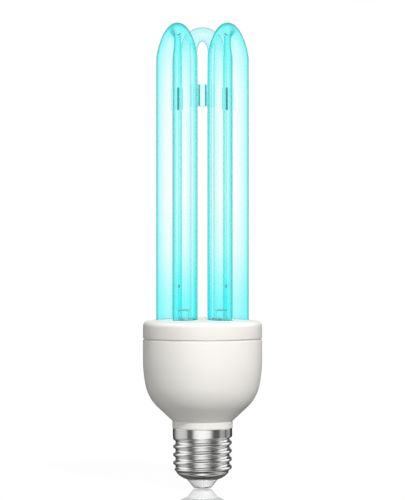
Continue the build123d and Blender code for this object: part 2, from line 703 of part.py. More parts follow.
def live_lead():
    """Insulated wire from the board to the rivet of the centre contact."""
    x, y = LIVE_LEAD_PLACE
    return supply_lead(
        [
            Vector(x, y, BOARD_Z),
            Vector(x, y, BOARD_Z - LEAD_STRAIGHT),
            Vector(0, 0, SHELL_TOP_Z),
            Vector(0, 0, rivet_top_z()),
        ]
    )


def neutral_lead():
    """Insulated wire from the board to the inner face of the screw shell."""
    x, y = NEUTRAL_LEAD_PLACE
    reach = min(SHELL_BORE_RADIUS, SPIGOT_BORE_RADIUS) - LEAD_RADIUS - LEAD_CLEARANCE
    tail = Vector(reach, 0).rotate(Axis.Z, NEUTRAL_LEAD_ANGLE)
    return supply_lead(
        [
            Vector(x, y, BOARD_Z),
            Vector(x, y, BOARD_Z - LEAD_STRAIGHT),
            tail + Vector(0, 0, SHELL_TOP_Z),
            tail + Vector(0, 0, SKIRT_BOTTOM_Z - NEUTRAL_LEAD_TAIL),
        ]
    )


def write(node, *shapes):
    """One STEP file for a node, holding one solid or a group of like solids."""
    solids = [solid for shape in shapes for solid in shape.solids()]
    shape = solids[0] if len(solids) == 1 else Compound(children=solids)
    export_step(shape, f"parts/{node}.step")


os.makedirs("parts", exist_ok=True)
write("centre_contact", centre_contact())
write("insulator", insulator())
write("screw_shell", screw_shell())
write("base_housing", base_housing())
write("tube_cover", tube_cover())
write("tube_cement", *tube_cement())
write("discharge_tube", discharge_tube())
write("spacer_left", spacer(U_PAIRS["left"], FRONT_SPACER_DROP))
write("spacer_right", spacer(U_PAIRS["right"], FRONT_SPACER_DROP))
write("spacer_rear", spacer(U_PAIRS["rear"], REAR_SPACER_DROP))
for side, front_leg in FRONT_LEGS.items():
    write(f"filament_{side}", filament(front_leg))
    write(f"lead_wires_{side}", *lead_wires(front_leg))
write("amalgam_pellets", *amalgam_pellets())
write("circuit_board", circuit_board())
write("choke_core", choke_core())
write("choke_winding", choke_winding())
write("drive_ring", drive_ring())
write("bulk_capacitor", bulk_capacitor())
write("film_capacitors", *film_capacitors())
write("transistors", *transistors())
write("rectifier_diodes", *rectifier_diodes())
write("fuse_resistor", fuse_resistor())
write("live_lead", live_lead())
write("neutral_lead", neutral_lead())
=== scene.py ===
import json
import math

import bpy
from mathutils import Matrix, Vector


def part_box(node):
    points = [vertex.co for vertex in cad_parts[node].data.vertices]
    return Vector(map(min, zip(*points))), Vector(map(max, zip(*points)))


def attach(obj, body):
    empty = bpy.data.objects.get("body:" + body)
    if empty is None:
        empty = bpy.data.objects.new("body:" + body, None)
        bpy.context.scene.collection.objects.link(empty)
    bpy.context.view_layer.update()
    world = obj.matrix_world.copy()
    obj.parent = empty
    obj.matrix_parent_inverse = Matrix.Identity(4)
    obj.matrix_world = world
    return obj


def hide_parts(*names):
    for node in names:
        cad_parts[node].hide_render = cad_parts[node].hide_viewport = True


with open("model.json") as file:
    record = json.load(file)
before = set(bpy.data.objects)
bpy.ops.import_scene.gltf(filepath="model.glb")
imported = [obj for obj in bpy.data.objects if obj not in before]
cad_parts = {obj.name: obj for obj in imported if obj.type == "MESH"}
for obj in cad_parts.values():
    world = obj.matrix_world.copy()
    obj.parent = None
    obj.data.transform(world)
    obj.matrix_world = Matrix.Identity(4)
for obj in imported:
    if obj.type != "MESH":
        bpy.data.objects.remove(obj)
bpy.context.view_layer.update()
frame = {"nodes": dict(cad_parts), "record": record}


# Screw shell: the lamp's cap, drawn from thin sheet and nickel plated.
# Its round thread is rolled in, so both faces of the sheet follow it.
# The end is drawn in to a cup, and the plain skirt is crimped on the housing's spigot.
shell_low, shell_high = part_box("screw_shell")
SHEET = 0.0003
SKIRT_RADIUS = shell_high.x
SKIRT_HEIGHT = 0.0037
SKIRT_BLEND = 0.0011
MOUTH_RADIUS = 0.0071
CUP_HEIGHT = 0.0029
CUP_RADIUS = 0.01155
CUP_BULGE = 0.0004
CUP_BLEND = 0.0022
CUP_STEPS = 12
THREAD_PITCH = 0.003629
THREAD_ROOT_RADIUS = 0.012
THREAD_DEPTH = 0.0011
THREAD_CREST_LEFT = 0.01825
THREAD_FADE = 0.002
THREAD_ROW = 0.00011
SHELL_SIDES = 180
MERGE_DISTANCE = 0.000001
NOISE_SPAN = (0.3, 0.7)
NICKEL_COLOUR = (0.95, 0.947, 0.94, 1)
NICKEL_MARKS = (500, 4, (0.5, 0.5, 6))
NICKEL_ROUGHNESS = (0.05, 0.12)
NICKEL_RELIEF = 0.000002

cup_top = shell_low.z + CUP_HEIGHT
skirt_bottom = shell_high.z - SKIRT_HEIGHT
thread_round = ((THREAD_PITCH / 4) ** 2 + (THREAD_DEPTH / 2) ** 2) / THREAD_DEPTH


def arc(centre, radius, start, end, steps):
    """Points of an arc in the (radius, height) plane, from one angle in degrees to another."""
    angles = [math.radians(start + (end - start) * step / steps) for step in range(steps + 1)]
    return [(centre[0] + radius * math.cos(a), centre[1] + radius * math.sin(a)) for a in angles]


def ease(value):
    """A smooth step from 0 to 1."""
    value = min(max(value, 0), 1)
    return value * value * (3 - 2 * value)


def begin(add_primitive, **shape):
    """Begins a piece with a primitive that is selected alone and has its place in its mesh."""
    bpy.ops.object.select_all(action="DESELECT")
    add_primitive(**shape)
    bpy.ops.object.transform_apply(location=True, rotation=True, scale=True)
    return bpy.context.object


def open_mesh():
    """Goes into edit mode with the whole mesh selected."""
    bpy.ops.object.mode_set(mode="EDIT")
    bpy.ops.mesh.select_all(action="SELECT")


def close_mesh():
    """Merges doubled corners, turns the faces outwards and leaves edit mode."""
    bpy.ops.mesh.select_all(action="SELECT")
    bpy.ops.mesh.remove_doubles(threshold=MERGE_DISTANCE)
    bpy.ops.mesh.normals_make_consistent(inside=False)
    bpy.ops.object.mode_set(mode="OBJECT")


def spun(name, outline, sides):
    """A turned piece: a loop of corners is set to a closed outline and spun round the lamp's axis."""
    piece = begin(bpy.ops.mesh.primitive_circle_add, vertices=len(outline))
    piece.name = name
    for corner, (radius, height) in zip(piece.data.vertices, outline):
        corner.co = (radius, 0, height)
    open_mesh()
    bpy.ops.mesh.spin(steps=sides, angle=math.tau, center=(0, 0, 0), axis=(0, 0, 1))
    close_mesh()
    return piece


def finish_piece(piece, material, slot, *nodes, angle=35):
    """Smooths a piece, gives it its material and ties it to the frame."""
    bpy.ops.object.select_all(action="DESELECT")
    piece.select_set(True)
    bpy.context.view_layer.objects.active = piece
    bpy.ops.object.shade_smooth_by_angle(angle=math.radians(angle))
    if material:
        piece.data.materials.clear()
        piece.data.materials.append(material)
    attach(piece, "root")
    if nodes:
        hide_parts(*nodes)


def new_material(name):
    """A material with its node tree, its shader and its Object coordinates."""
    material = bpy.data.materials.new(name)
    material.use_nodes = True
    tree = material.node_tree
    place = tree.nodes.new("ShaderNodeTexCoord").outputs["Object"]
    return material, tree, tree.nodes["Principled BSDF"], place


def noise(tree, place, scale, detail=3, stretch=(1, 1, 1)):
    """Noise at a scale in cells to the metre, stretched along the axes."""
    mapping = tree.nodes.new("ShaderNodeMapping")
    mapping.inputs["Scale"].default_value = stretch
    texture = tree.nodes.new("ShaderNodeTexNoise")
    texture.inputs["Scale"].default_value = scale
    texture.inputs["Detail"].default_value = detail
    tree.links.new(place, mapping.inputs["Vector"])
    tree.links.new(mapping.outputs["Vector"], texture.inputs["Vector"])
    return texture.outputs["Fac"]


def remap(tree, value, start, end, low=0, high=1, course="LINEAR"):
    """A value that runs from low to high while another runs from start to end."""
    node = tree.nodes.new("ShaderNodeMapRange")
    node.interpolation_type = course
    limits = {"From Min": start, "From Max": end, "To Min": low, "To Max": high}
    for name, limit in limits.items():
        node.inputs[name].default_value = limit
    tree.links.new(value, node.inputs["Value"])
    return node.outputs["Result"]


def spread(tree, value, low, high, socket):
    """Drives a shader's socket from a noise value, between a low and a high reading."""
    tree.links.new(remap(tree, value, *NOISE_SPAN, low, high), socket)


def emboss(tree, value, depth, shader):
    """Fine relief of a given depth in metres."""
    bump = tree.nodes.new("ShaderNodeBump")
    bump.inputs["Distance"].default_value = depth
    tree.links.new(value, bump.inputs["Height"])
    tree.links.new(bump.outputs["Normal"], shader.inputs["Normal"])


def worked_metal(name, colour, marks, roughness, relief):
    """Bare metal of one colour with the fine marks of its working."""
    material, tree, shader, place = new_material(name)
    shader.inputs["Base Color"].default_value = colour
    shader.inputs["Metallic"].default_value = 1
    scratches = noise(tree, place, *marks)
    spread(tree, scratches, *roughness, shader.inputs["Roughness"])
    emboss(tree, scratches, relief, shader)
    return material


def shell_outline():
    """The sheet's section before rolling: cup, barrel, skirt, and back down the inner face."""
    slope = math.atan2(CUP_HEIGHT, CUP_RADIUS - MOUTH_RADIUS)
    cup = []
    for step in range(CUP_STEPS + 1):
        along = step / CUP_STEPS
        swell = CUP_BULGE * (1 - (2 * along - 1) ** 2)
        radius = MOUTH_RADIUS + (CUP_RADIUS - MOUTH_RADIUS) * along + swell * math.sin(slope)
        cup.append((radius, shell_low.z + CUP_HEIGHT * along - swell * math.cos(slope)))
    wall = []
    rows = round((skirt_bottom - cup_top) / THREAD_ROW)
    for row in range(1, rows + 1):
        height = cup_top + (skirt_bottom - cup_top) * row / rows
        barrel = ease((height - cup_top) / CUP_BLEND)
        skirt = ease((height - skirt_bottom + SKIRT_BLEND) / SKIRT_BLEND)
        radius = CUP_RADIUS + (THREAD_ROOT_RADIUS - CUP_RADIUS) * barrel
        wall.append((radius + (SKIRT_RADIUS - THREAD_ROOT_RADIUS) * skirt, height))
    lip = SHEET / 2
    rim_height = shell_high.z - lip
    for height in (skirt_bottom + SHEET, skirt_bottom + 2 * SHEET, shell_high.z - SHEET, rim_height):
        wall.append((SKIRT_RADIUS, height))
    rim = arc((SKIRT_RADIUS - lip, rim_height), lip, 0, 180, steps=8)
    inner_wall = [(radius - SHEET, height) for radius, height in wall]
    inner_cup = [(radius - lip, height + SHEET) for radius, height in cup]
    return cup + wall + rim[1:-1] + inner_wall[::-1] + inner_cup[::-1]


def thread_rise(height, turn):
    """Rise of the rolled thread above its root at a height and an angle round the axis."""
    crest = THREAD_CREST_LEFT + (turn / math.tau - 0.5) * THREAD_PITCH
    along = abs((height - crest + THREAD_PITCH / 2) % THREAD_PITCH - THREAD_PITCH / 2)
    if along < THREAD_PITCH / 4:
        rise = THREAD_DEPTH - thread_round + math.sqrt(thread_round**2 - along**2)
    else:
        rise = thread_round - math.sqrt(thread_round**2 - (THREAD_PITCH / 2 - along) ** 2)
    start = ease((height - cup_top) / THREAD_FADE)
    end = 1 - ease((height - skirt_bottom + SKIRT_BLEND) / SKIRT_BLEND)
    return rise * start * end


screw_shell = spun("screw_shell_rolled", shell_outline(), SHELL_SIDES)
for corner in screw_shell.data.vertices:
    turn = math.atan2(corner.co.y, corner.co.x) % math.tau
    stretch = 1 + thread_rise(corner.co.z, turn) / math.hypot(corner.co.x, corner.co.y)
    corner.co.x *= stretch
    corner.co.y *= stretch
nickel = worked_metal("nickel_plate", NICKEL_COLOUR, NICKEL_MARKS, NICKEL_ROUGHNESS, NICKEL_RELIEF)
finish_piece(screw_shell, nickel, "nickel_plate", "screw_shell", angle=50)


# Insulator: the pale moulded frustum that closes the shell's mouth.
# A flange inside the shell sits in its cup and takes the rivet of the contact.
tip_low, tip_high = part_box("insulator")
TIP_RADIUS = 0.0046
TIP_EDGE = 0.0003
TIP_BORE_RADIUS = 0.00155
TIP_NECK_RADIUS = 0.007
TIP_SEAT_GAP = 0.00005
TIP_SIDES = 128
TIP_COLOUR = (0.92, 0.92, 0.92, 1)
TIP_SHADE = (0.87, 0.87, 0.875, 1)
TIP_MOTTLE = 300
TIP_SHEEN_GRAIN = 900
TIP_ROUGHNESS = (0.28, 0.4)
TIP_PITS = 2500
TIP_RELIEF = 0.000003


def seat_height(radius):
    """Height of the inner face of the shell's cup at a radius."""
    slope = CUP_HEIGHT / (THREAD_ROOT_RADIUS - SHEET - MOUTH_RADIUS)
    return shell_low.z + SHEET + TIP_SEAT_GAP + slope * (radius - MOUTH_RADIUS)


def ramp(tree, value, stops):
    """A colour that passes through a row of stops, each a reading of the value and its colour."""
    node = tree.nodes.new("ShaderNodeValToRGB")
    elements = node.color_ramp.elements
    while len(elements) < len(stops):
        elements.new(1)
    for element, (reading, colour) in zip(elements, stops):
        element.position = reading
        element.color = colour
    tree.links.new(value, node.inputs["Fac"])
    return node.outputs["Color"]


def tint(tree, value, first, second, socket):
    """Drives a colour socket from a noise value, between two colours."""
    tree.links.new(ramp(tree, value, list(zip(NOISE_SPAN, (first, second)))), socket)


def tip_ceramic():
    """Smooth satin moulding with a faint mottle."""
    material, tree, shader, place = new_material("tip_ceramic")
    tint(tree, noise(tree, place, TIP_MOTTLE), TIP_SHADE, TIP_COLOUR, shader.inputs["Base Color"])
    spread(tree, noise(tree, place, TIP_SHEEN_GRAIN), *TIP_ROUGHNESS, shader.inputs["Roughness"])
    emboss(tree, noise(tree, place, TIP_PITS), TIP_RELIEF, shader)
    return material


flank = math.degrees(math.atan2(shell_low.z - tip_low.z, TIP_NECK_RADIUS - TIP_RADIUS))
tip_outline = [(TIP_BORE_RADIUS, tip_low.z)]
tip_corner = (TIP_RADIUS - TIP_EDGE, tip_low.z + TIP_EDGE)
tip_outline += arc(tip_corner, TIP_EDGE, -90, flank - 90, steps=6)
tip_outline += [
    (TIP_NECK_RADIUS, shell_low.z),
    (TIP_NECK_RADIUS, seat_height(TIP_NECK_RADIUS)),
    (tip_high.x, seat_height(tip_high.x)),
    (tip_high.x, tip_high.z),
    (TIP_BORE_RADIUS, tip_high.z),
]
insulator = spun("insulator_moulded", tip_outline, TIP_SIDES)
finish_piece(insulator, tip_ceramic(), "tip_ceramic", "insulator")


# Centre contact: a pressed and tinned button under the insulator.
# Its rivet stem passes through the insulator and is headed over inside.
contact_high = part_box("centre_contact")[1]
CONTACT_RADIUS = contact_high.x
CONTACT_EDGE = 0.0002
CONTACT_SIDES = 96
RIVET_RADIUS = 0.0015
RIVET_HEAD_RADIUS = 0.0026
RIVET_HEAD_ROUND = 0.00025
RIVET_AXIS_RADIUS = 0.00001
TIN_COLOUR = (0.66, 0.66, 0.65, 1)
TIN_MARKS = (1500, 2)
TIN_ROUGHNESS = (0.22, 0.36)
TIN_RELIEF = 0.000003

rivet_corner = (RIVET_HEAD_RADIUS - RIVET_HEAD_ROUND, contact_high.z - RIVET_HEAD_ROUND)
contact_outline = [(RIVET_AXIS_RADIUS, 0)]
contact_outline += arc((CONTACT_RADIUS - CONTACT_EDGE, CONTACT_EDGE), CONTACT_EDGE, -90, 0, steps=5)
contact_outline += [
    (CONTACT_RADIUS, tip_low.z),
    (RIVET_RADIUS, tip_low.z),
    (RIVET_RADIUS, tip_high.z),
    (RIVET_HEAD_RADIUS, tip_high.z),
]
contact_outline += arc(rivet_corner, RIVET_HEAD_ROUND, 0, 90, steps=5)
contact_outline += [(RIVET_AXIS_RADIUS, contact_high.z)]
centre_contact = spun("centre_contact_pressed", contact_outline, CONTACT_SIDES)
tin = worked_metal("contact_metal", TIN_COLOUR, TIN_MARKS, TIN_ROUGHNESS, TIN_RELIEF)
finish_piece(centre_contact, tin, "contact_metal", "centre_contact")


# Base housing: a bowl moulded in warm white plastic, with a neck and a spigot for the cap.
# Three ribs on its inner wall carry the circuit board.
housing_low, housing_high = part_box("base_housing")
BODY_RADIUS = housing_high.x
BODY_SIDES = 192
NECK_RADIUS = 0.01343
NECK_ROUND = 0.0002
NECK_CORNER = 0.0006
SPIGOT_RADIUS = 0.01285
SPIGOT_BORE_RADIUS = 0.01175
BOWL_CONE_ANGLE = 47
BOWL_LOWER_ARC = 0.0185
BOWL_UPPER_ANGLE = 11
BOWL_UPPER_ARC = 0.06
RIM_HEIGHT = 0.00875
RIM_ROUND = 0.0004
HOUSING_WALL = 0.0016
GROOVE_DROP = 0.0024
GROOVE_HALF = 0.0007
GROOVE_DEPTH = 0.0003
RIB_SIZE = (0.0042, 0.0014, 0.009)
RIB_REACH = 0.0026
RIB_LEAN = 0.002
RIB_ANGLES = (90, 210, 330)
PLASTIC_COLOUR = (0.85, 0.828, 0.785, 1)
PLASTIC_SHADE = (0.835, 0.813, 0.77, 1)
PLASTIC_MOTTLE = 60
PLASTIC_GRAIN = (6000, 2)
PLASTIC_ROUGHNESS = (0.34, 0.44)
PLASTIC_RELIEF = 0.000002

upper_centre = (BODY_RADIUS - BOWL_UPPER_ARC, housing_high.z - RIM_HEIGHT)
arcs_meet = arc(upper_centre, BOWL_UPPER_ARC, -BOWL_UPPER_ANGLE, 0, steps=1)[0]
lower_centre = arc(arcs_meet, BOWL_LOWER_ARC, 180 - BOWL_UPPER_ANGLE, 0, steps=1)[0]


def bowl_face(inset, foot_radius):
    """The bowl from its foot on the cone up to its rim, at an inset from its outer face."""
    lower = arc(lower_centre, BOWL_LOWER_ARC - inset, -BOWL_CONE_ANGLE, -BOWL_UPPER_ANGLE, steps=24)
    upper = arc(upper_centre, BOWL_UPPER_ARC - inset, -BOWL_UPPER_ANGLE, 0, steps=12)
    drop = (lower[0][0] - foot_radius) / math.tan(math.radians(BOWL_CONE_ANGLE))
    return [(foot_radius, lower[0][1] - drop)] + lower + upper[1:]


def white_plastic():
    """Warm white moulding with a fine satin grain."""
    material, tree, shader, place = new_material("white_plastic")
    mottle = noise(tree, place, PLASTIC_MOTTLE)
    tint(tree, mottle, PLASTIC_SHADE, PLASTIC_COLOUR, shader.inputs["Base Color"])
    grain = noise(tree, place, *PLASTIC_GRAIN)
    spread(tree, grain, *PLASTIC_ROUGHNESS, shader.inputs["Roughness"])
    emboss(tree, grain, PLASTIC_RELIEF, shader)
    return material


def combine(piece, tool, operation):
    """Joins a closed tool to a piece, or cuts it out, and removes the tool."""
    bpy.context.view_layer.objects.active = piece
    modifier = piece.modifiers.new("combine", "BOOLEAN")
    modifier.operation = operation
    modifier.solver = "MANIFOLD"
    modifier.material_mode = "TRANSFER"
    modifier.object = tool
    bpy.ops.object.modifier_apply(modifier=modifier.name)
    bpy.data.objects.remove(tool)


def block(size, place, turn=0):
    """A cube at its size and place, turned about the vertical."""
    tilt = (0, 0, math.radians(turn))
    return begin(bpy.ops.mesh.primitive_cube_add, size=1, location=place, rotation=tilt, scale=size)


def heading(degrees):
    """A level arrow of length 1 at an angle round the lamp's axis."""
    return Vector((math.cos(math.radians(degrees)), math.sin(math.radians(degrees)), 0))


outer_face = bowl_face(0, NECK_RADIUS)
foot_height = outer_face[0][1]
neck_bottom = shell_high.z
inner_radius = BODY_RADIUS - HOUSING_WALL
groove_height = housing_high.z - GROOVE_DROP
cone_reach = NECK_CORNER * math.tan(math.radians(BOWL_CONE_ANGLE / 2))
cone_corner = (NECK_RADIUS + NECK_CORNER, foot_height - cone_reach)
neck_edge = (NECK_RADIUS - NECK_ROUND, neck_bottom + NECK_ROUND)
rim_edge = (BODY_RADIUS - RIM_ROUND, housing_high.z - RIM_ROUND)
housing_outline = [
    (SPIGOT_BORE_RADIUS, housing_low.z),
    (SPIGOT_RADIUS, housing_low.z),
    (SPIGOT_RADIUS, neck_bottom),
]
housing_outline += arc(neck_edge, NECK_ROUND, -90, 0, steps=5)
housing_outline += arc(cone_corner, NECK_CORNER, 180, 180 - BOWL_CONE_ANGLE, steps=6)
housing_outline += outer_face[1:]
housing_outline += arc(rim_edge, RIM_ROUND, 0, 90, steps=6)
housing_outline += [
    (inner_radius, housing_high.z),
    (inner_radius, groove_height + GROOVE_HALF),
    (inner_radius + GROOVE_DEPTH, groove_height),
    (inner_radius, groove_height - GROOVE_HALF),
]
housing_outline += bowl_face(HOUSING_WALL, SPIGOT_BORE_RADIUS)[::-1]
base_housing = spun("base_housing_moulded", housing_outline, BODY_SIDES)

board_low, board_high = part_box("circuit_board")
rib_middle = board_high.x - RIB_REACH + RIB_SIZE[0] / 2
for angle in RIB_ANGLES:
    aim = heading(angle)
    rib_place = aim * rib_middle + Vector((0, 0, board_low.z - RIB_SIZE[2] / 2))
    rib = block(RIB_SIZE, rib_place, angle)
    for corner in rib.data.vertices:
        if corner.co.z < rib_place.z and corner.co.dot(aim) > rib_middle:
            corner.co -= aim * RIB_LEAN
    combine(base_housing, rib, "UNION")
plastic = white_plastic()
finish_piece(base_housing, plastic, "white_plastic", "base_housing")


# Tube cover: the moulded lid of the housing, slightly domed, with a hole for each glass leg.
# Its lip snaps into a groove in the bowl and leaves a narrow seam all round.
cover_low, cover_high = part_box("tube_cover")
DOME_RADIUS = 0.172
DOME_ROWS = 14
AXIS_RADIUS = 0.0005
AXIS_SIDES = 24
COVER_CORNER = 0.0022
SEAM_GAP = 0.0005
SEAM_DEPTH = 0.0007
SEAM_ROUND = 0.00035
LIP_RADIUS = 0.02485
LIP_WALL = 0.0013
LIP_WEB = 0.0015
BEAD_HALF = 0.0006
BEAD_HEIGHT = 0.0003
LEG_CIRCLE_RADIUS = 0.0152
LEG_ANGLES = (0, 60, 120, 180, 240, 300)
TUBE_RADIUS = 0.0054
HOLE_GAP = 0.0005
HOLE_SIDES = 72

seam = housing_high.z
legs = [heading(turn) * LEG_CIRCLE_RADIUS for turn in LEG_ANGLES]


def dome_height(radius, inset):
    """Height of the cover's dome at a radius, or of its inner face at an inset."""
    return cover_high.z - DOME_RADIUS + math.sqrt((DOME_RADIUS - inset) ** 2 - radius**2)


def rod(radius, bottom, top, place, sides):
    """An upright rod between two heights."""
    return begin(
        bpy.ops.mesh.primitive_cylinder_add,
        vertices=sides,
        radius=radius,
        depth=top - bottom,
        location=(place.x, place.y, (bottom + top) / 2),
    )


corner_radius = BODY_RADIUS - COVER_CORNER
corner_height = dome_height(corner_radius, COVER_CORNER)
corner_tilt = math.degrees(math.acos(corner_radius / (DOME_RADIUS - COVER_CORNER)))
seam_edge = (BODY_RADIUS - SEAM_ROUND, seam + SEAM_GAP + SEAM_ROUND)
bead_height = seam - GROOVE_DROP
cover_outline = [(BODY_RADIUS - SEAM_DEPTH, seam), (BODY_RADIUS - SEAM_DEPTH, seam + SEAM_GAP)]
cover_outline += arc(seam_edge, SEAM_ROUND, -90, 0, steps=5)
cover_outline += arc((corner_radius, corner_height), COVER_CORNER, 0, corner_tilt, steps=12)
dome_end = cover_outline[-1][0]
for row in range(1, DOME_ROWS + 1):
    radius = dome_end + (AXIS_RADIUS - dome_end) * row / DOME_ROWS
    cover_outline.append((radius, dome_height(radius, 0)))
for row in range(DOME_ROWS + 1):
    radius = AXIS_RADIUS + (inner_radius - AXIS_RADIUS) * row / DOME_ROWS
    cover_outline.append((radius, dome_height(radius, HOUSING_WALL)))
cover_outline += [
    (inner_radius, seam + LIP_WEB),
    (LIP_RADIUS - LIP_WALL, seam + LIP_WEB),
    (LIP_RADIUS - LIP_WALL, cover_low.z),
    (LIP_RADIUS, cover_low.z),
    (LIP_RADIUS, bead_height - BEAD_HALF),
    (LIP_RADIUS + BEAD_HEIGHT, bead_height),
    (LIP_RADIUS, bead_height + BEAD_HALF),
    (LIP_RADIUS, seam),
]
tube_cover = spun("tube_cover_moulded", cover_outline, BODY_SIDES)
plug_top = cover_high.z - HOUSING_WALL / 4
axis_plug = rod(2 * AXIS_RADIUS, seam + LIP_WEB, plug_top, Vector(), AXIS_SIDES)
combine(tube_cover, axis_plug, "UNION")
for leg in legs:
    hole = rod(TUBE_RADIUS + HOLE_GAP, seam, cover_high.z + HOUSING_WALL, leg, HOLE_SIDES)
    combine(tube_cover, hole, "DIFFERENCE")
finish_piece(tube_cover, plastic, "white_plastic", "tube_cover")


# Tube cement: a ring of white cement fills the gap round each leg in its hole.
# It wets the glass and the plastic, so its top is drawn up at both walls.
cement_low, cement_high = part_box("tube_cement")
CEMENT_GAP = 0.00003
CEMENT_DIP = 0.0002
CEMENT_STEPS = 8
CEMENT_COLOUR = (0.84, 0.83, 0.8, 1)
CEMENT_SHADE = (0.76, 0.75, 0.72, 1)
CEMENT_GRIT = (2500, 5)
CEMENT_ROUGHNESS = (0.7, 0.9)
CEMENT_RELIEF = 0.00003


def mottled(name, shade, colour, grain, roughness, relief, metallic=0):
    """A finish whose colour, roughness and relief all follow one grain."""
    material, tree, shader, place = new_material(name)
    shader.inputs["Metallic"].default_value = metallic
    specks = noise(tree, place, *grain)
    tint(tree, specks, shade, colour, shader.inputs["Base Color"])
    spread(tree, specks, *roughness, shader.inputs["Roughness"])
    emboss(tree, specks, relief, shader)
    return material


def copied(first, moves):
    """Copies of a piece, each with its own mesh moved in place. The first one goes."""
    copies = []
    for move in moves:
        copy = first.copy()
        copy.data = first.data.copy()
        copy.data.transform(move)
        bpy.context.scene.collection.objects.link(copy)
        copies.append(copy)
    bpy.data.objects.remove(first)
    return copies


def gathered(name, pieces):
    """Pieces that don't touch, as one object under one name."""
    bpy.ops.object.select_all(action="DESELECT")
    for piece in pieces:
        piece.select_set(True)
    bpy.context.view_layer.objects.active = pieces[0]
    bpy.ops.object.join()
    pieces[0].name = name
    return pieces[0]


ring_inner = TUBE_RADIUS + CEMENT_GAP
ring_outer = TUBE_RADIUS + HOLE_GAP - CEMENT_GAP
ring_outline = [(ring_inner, cement_low.z), (ring_outer, cement_low.z)]
for step in range(CEMENT_STEPS + 1):
    across = step / CEMENT_STEPS
    sag = CEMENT_DIP * (1 - (2 * across - 1) ** 2)
    ring_outline.append((ring_outer + (ring_inner - ring_outer) * across, cement_high.z - sag))
cement_ring = spun("cement_ring", ring_outline, HOLE_SIDES)
cement_rings = copied(cement_ring, [Matrix.Translation(leg) for leg in legs])
tube_cement = gathered("tube_cement_rings", cement_rings)
cement = mottled(
    "cement", CEMENT_SHADE, CEMENT_COLOUR, CEMENT_GRIT, CEMENT_ROUGHNESS, CEMENT_RELIEF
)
finish_piece(tube_cement, cement, "cement", "tube_cement")


# Discharge tube: clear glass drawn into three U bends on six legs and fused into one path.
# The feet are sealed below the cover, where two short bridges join the bends.
# The feet of the two front legs are pressed flat round the lead wires.
glass_low, glass_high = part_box("discharge_tube")
GLASS_WALL = 0.001
LEG_SINK = 0.0155
LEG_END_HEIGHT = 0.003
LEG_END_RADIUS = 0.0032
BRIDGE_RADIUS = 0.0026
BRIDGE_WALL = 0.001
BRIDGE_RISE = 0.0075
BRIDGE_SIDES = 32
PINCH_SIZE = (0.007, 0.0026, 0.0055)
PINCH_ROUND = 0.00085
BEND_RADIUS = LEG_CIRCLE_RADIUS / 2
BEND_HEIGHT = 0.0123
BEND_TUBE_RADIUS = 0.0032
BEND_NARROWING = 1.2
BEND_STEPS = 56
TUBE_SIDES = 96
GLASS_IOR = 1.47
WHITE = (1, 1, 1, 1)
GLASS_SLANTS = (
    (0, WHITE),
    (0.05, (0.88, 1, 1, 1)),
    (0.1, (0.76, 1, 1, 1)),
    (0.23, (0.47, 0.998, 0.998, 1)),
    (0.37, (0.27, 0.99, 0.992, 1)),
    (0.45, (0.15, 0.88, 0.89, 1)),
    (0.53, (0.055, 0.63, 0.65, 1)),
    (1, (0.01, 0.28, 0.31, 1)),
)
# Up the legs the aqua tint deepens towards the bends; its darkest stops at the foot, just above the
# cover, are painted shade where the legs meet the cover.
GLASS_CAST_AND_SHADE_HEIGHTS = (0.0745, 0.077, 0.084, 0.092, 0.105, 0.13, 0.175, 0.19, 0.2062)
GLASS_CAST_AND_SHADE_REDS = (0.25, 0.33, 0.4, 0.55, 0.82, 0.99, 0.93, 0.72, 0.46)
GLASS_CAST_AND_SHADE_GREENS = (0.92, 0.985, 0.985, 0.99, 1, 1, 1, 1, 0.98)
GLASS_REAR_DEPTHS = (0.001, 0.008)
GLASS_REAR_SHARE = 0.65
BORE_SHADE = (0.99, 1, 1, 1)
BORE_MOTTLE = 40
UP = Vector((0, 0, 1))

right_leg, rear_right_leg, rear_left_leg, left_leg, front_left_leg, front_right_leg = legs
front_legs = {"left": front_left_leg, "right": front_right_leg}
u_pairs = [(left_leg, front_left_leg), (right_leg, front_right_leg), (rear_left_leg, rear_right_leg)]
bridge_pairs = [(left_leg, rear_left_leg), (right_leg, rear_right_leg)]
leg_bottom = cover_high.z - LEG_SINK
bend_height = glass_high.z - BEND_TUBE_RADIUS - BEND_HEIGHT


def draw_out(move, scale, centre):
    """Draws the selected end of a rod out and sizes its new end about a centre."""
    bpy.ops.mesh.extrude_region_move(TRANSFORM_OT_translate={"value": move})
    bpy.ops.transform.resize(value=(scale, scale, 1), center_override=centre)


def rod_end(radius, place, sides):
    """The round end from which a rod is drawn."""
    end = begin(
        bpy.ops.mesh.primitive_circle_add,
        vertices=sides,
        radius=radius,
        fill_type="NGON",
        location=place,
    )
    open_mesh()
    return end


def bent_rod(radius, top_radius, bottom, end_radius, end_height):
    """A closed rod up one leg, over the bend and down the other, with tapered ends, along X."""
    bent = rod_end(end_radius, (BEND_RADIUS, 0, bottom), TUBE_SIDES)
    stops = [bottom + end_height, cover_low.z, seam, cover_high.z, bend_height]
    draw_out(UP * end_height, radius / end_radius, (BEND_RADIUS, 0, 0))
    for lower, upper in zip(stops, stops[1:]):
        draw_out(UP * (upper - lower), 1, (BEND_RADIUS, 0, 0))
    bpy.ops.mesh.spin(steps=BEND_STEPS, angle=math.pi, center=(0, 0, bend_height), axis=(0, 1, 0))
    for upper, lower in zip(stops[::-1], stops[-2::-1]):
        draw_out(UP * (lower - upper), 1, (-BEND_RADIUS, 0, 0))
    draw_out(UP * -end_height, end_radius / radius, (-BEND_RADIUS, 0, 0))
    close_mesh()
    narrow_bend(bent, top_radius / radius)
    return bent


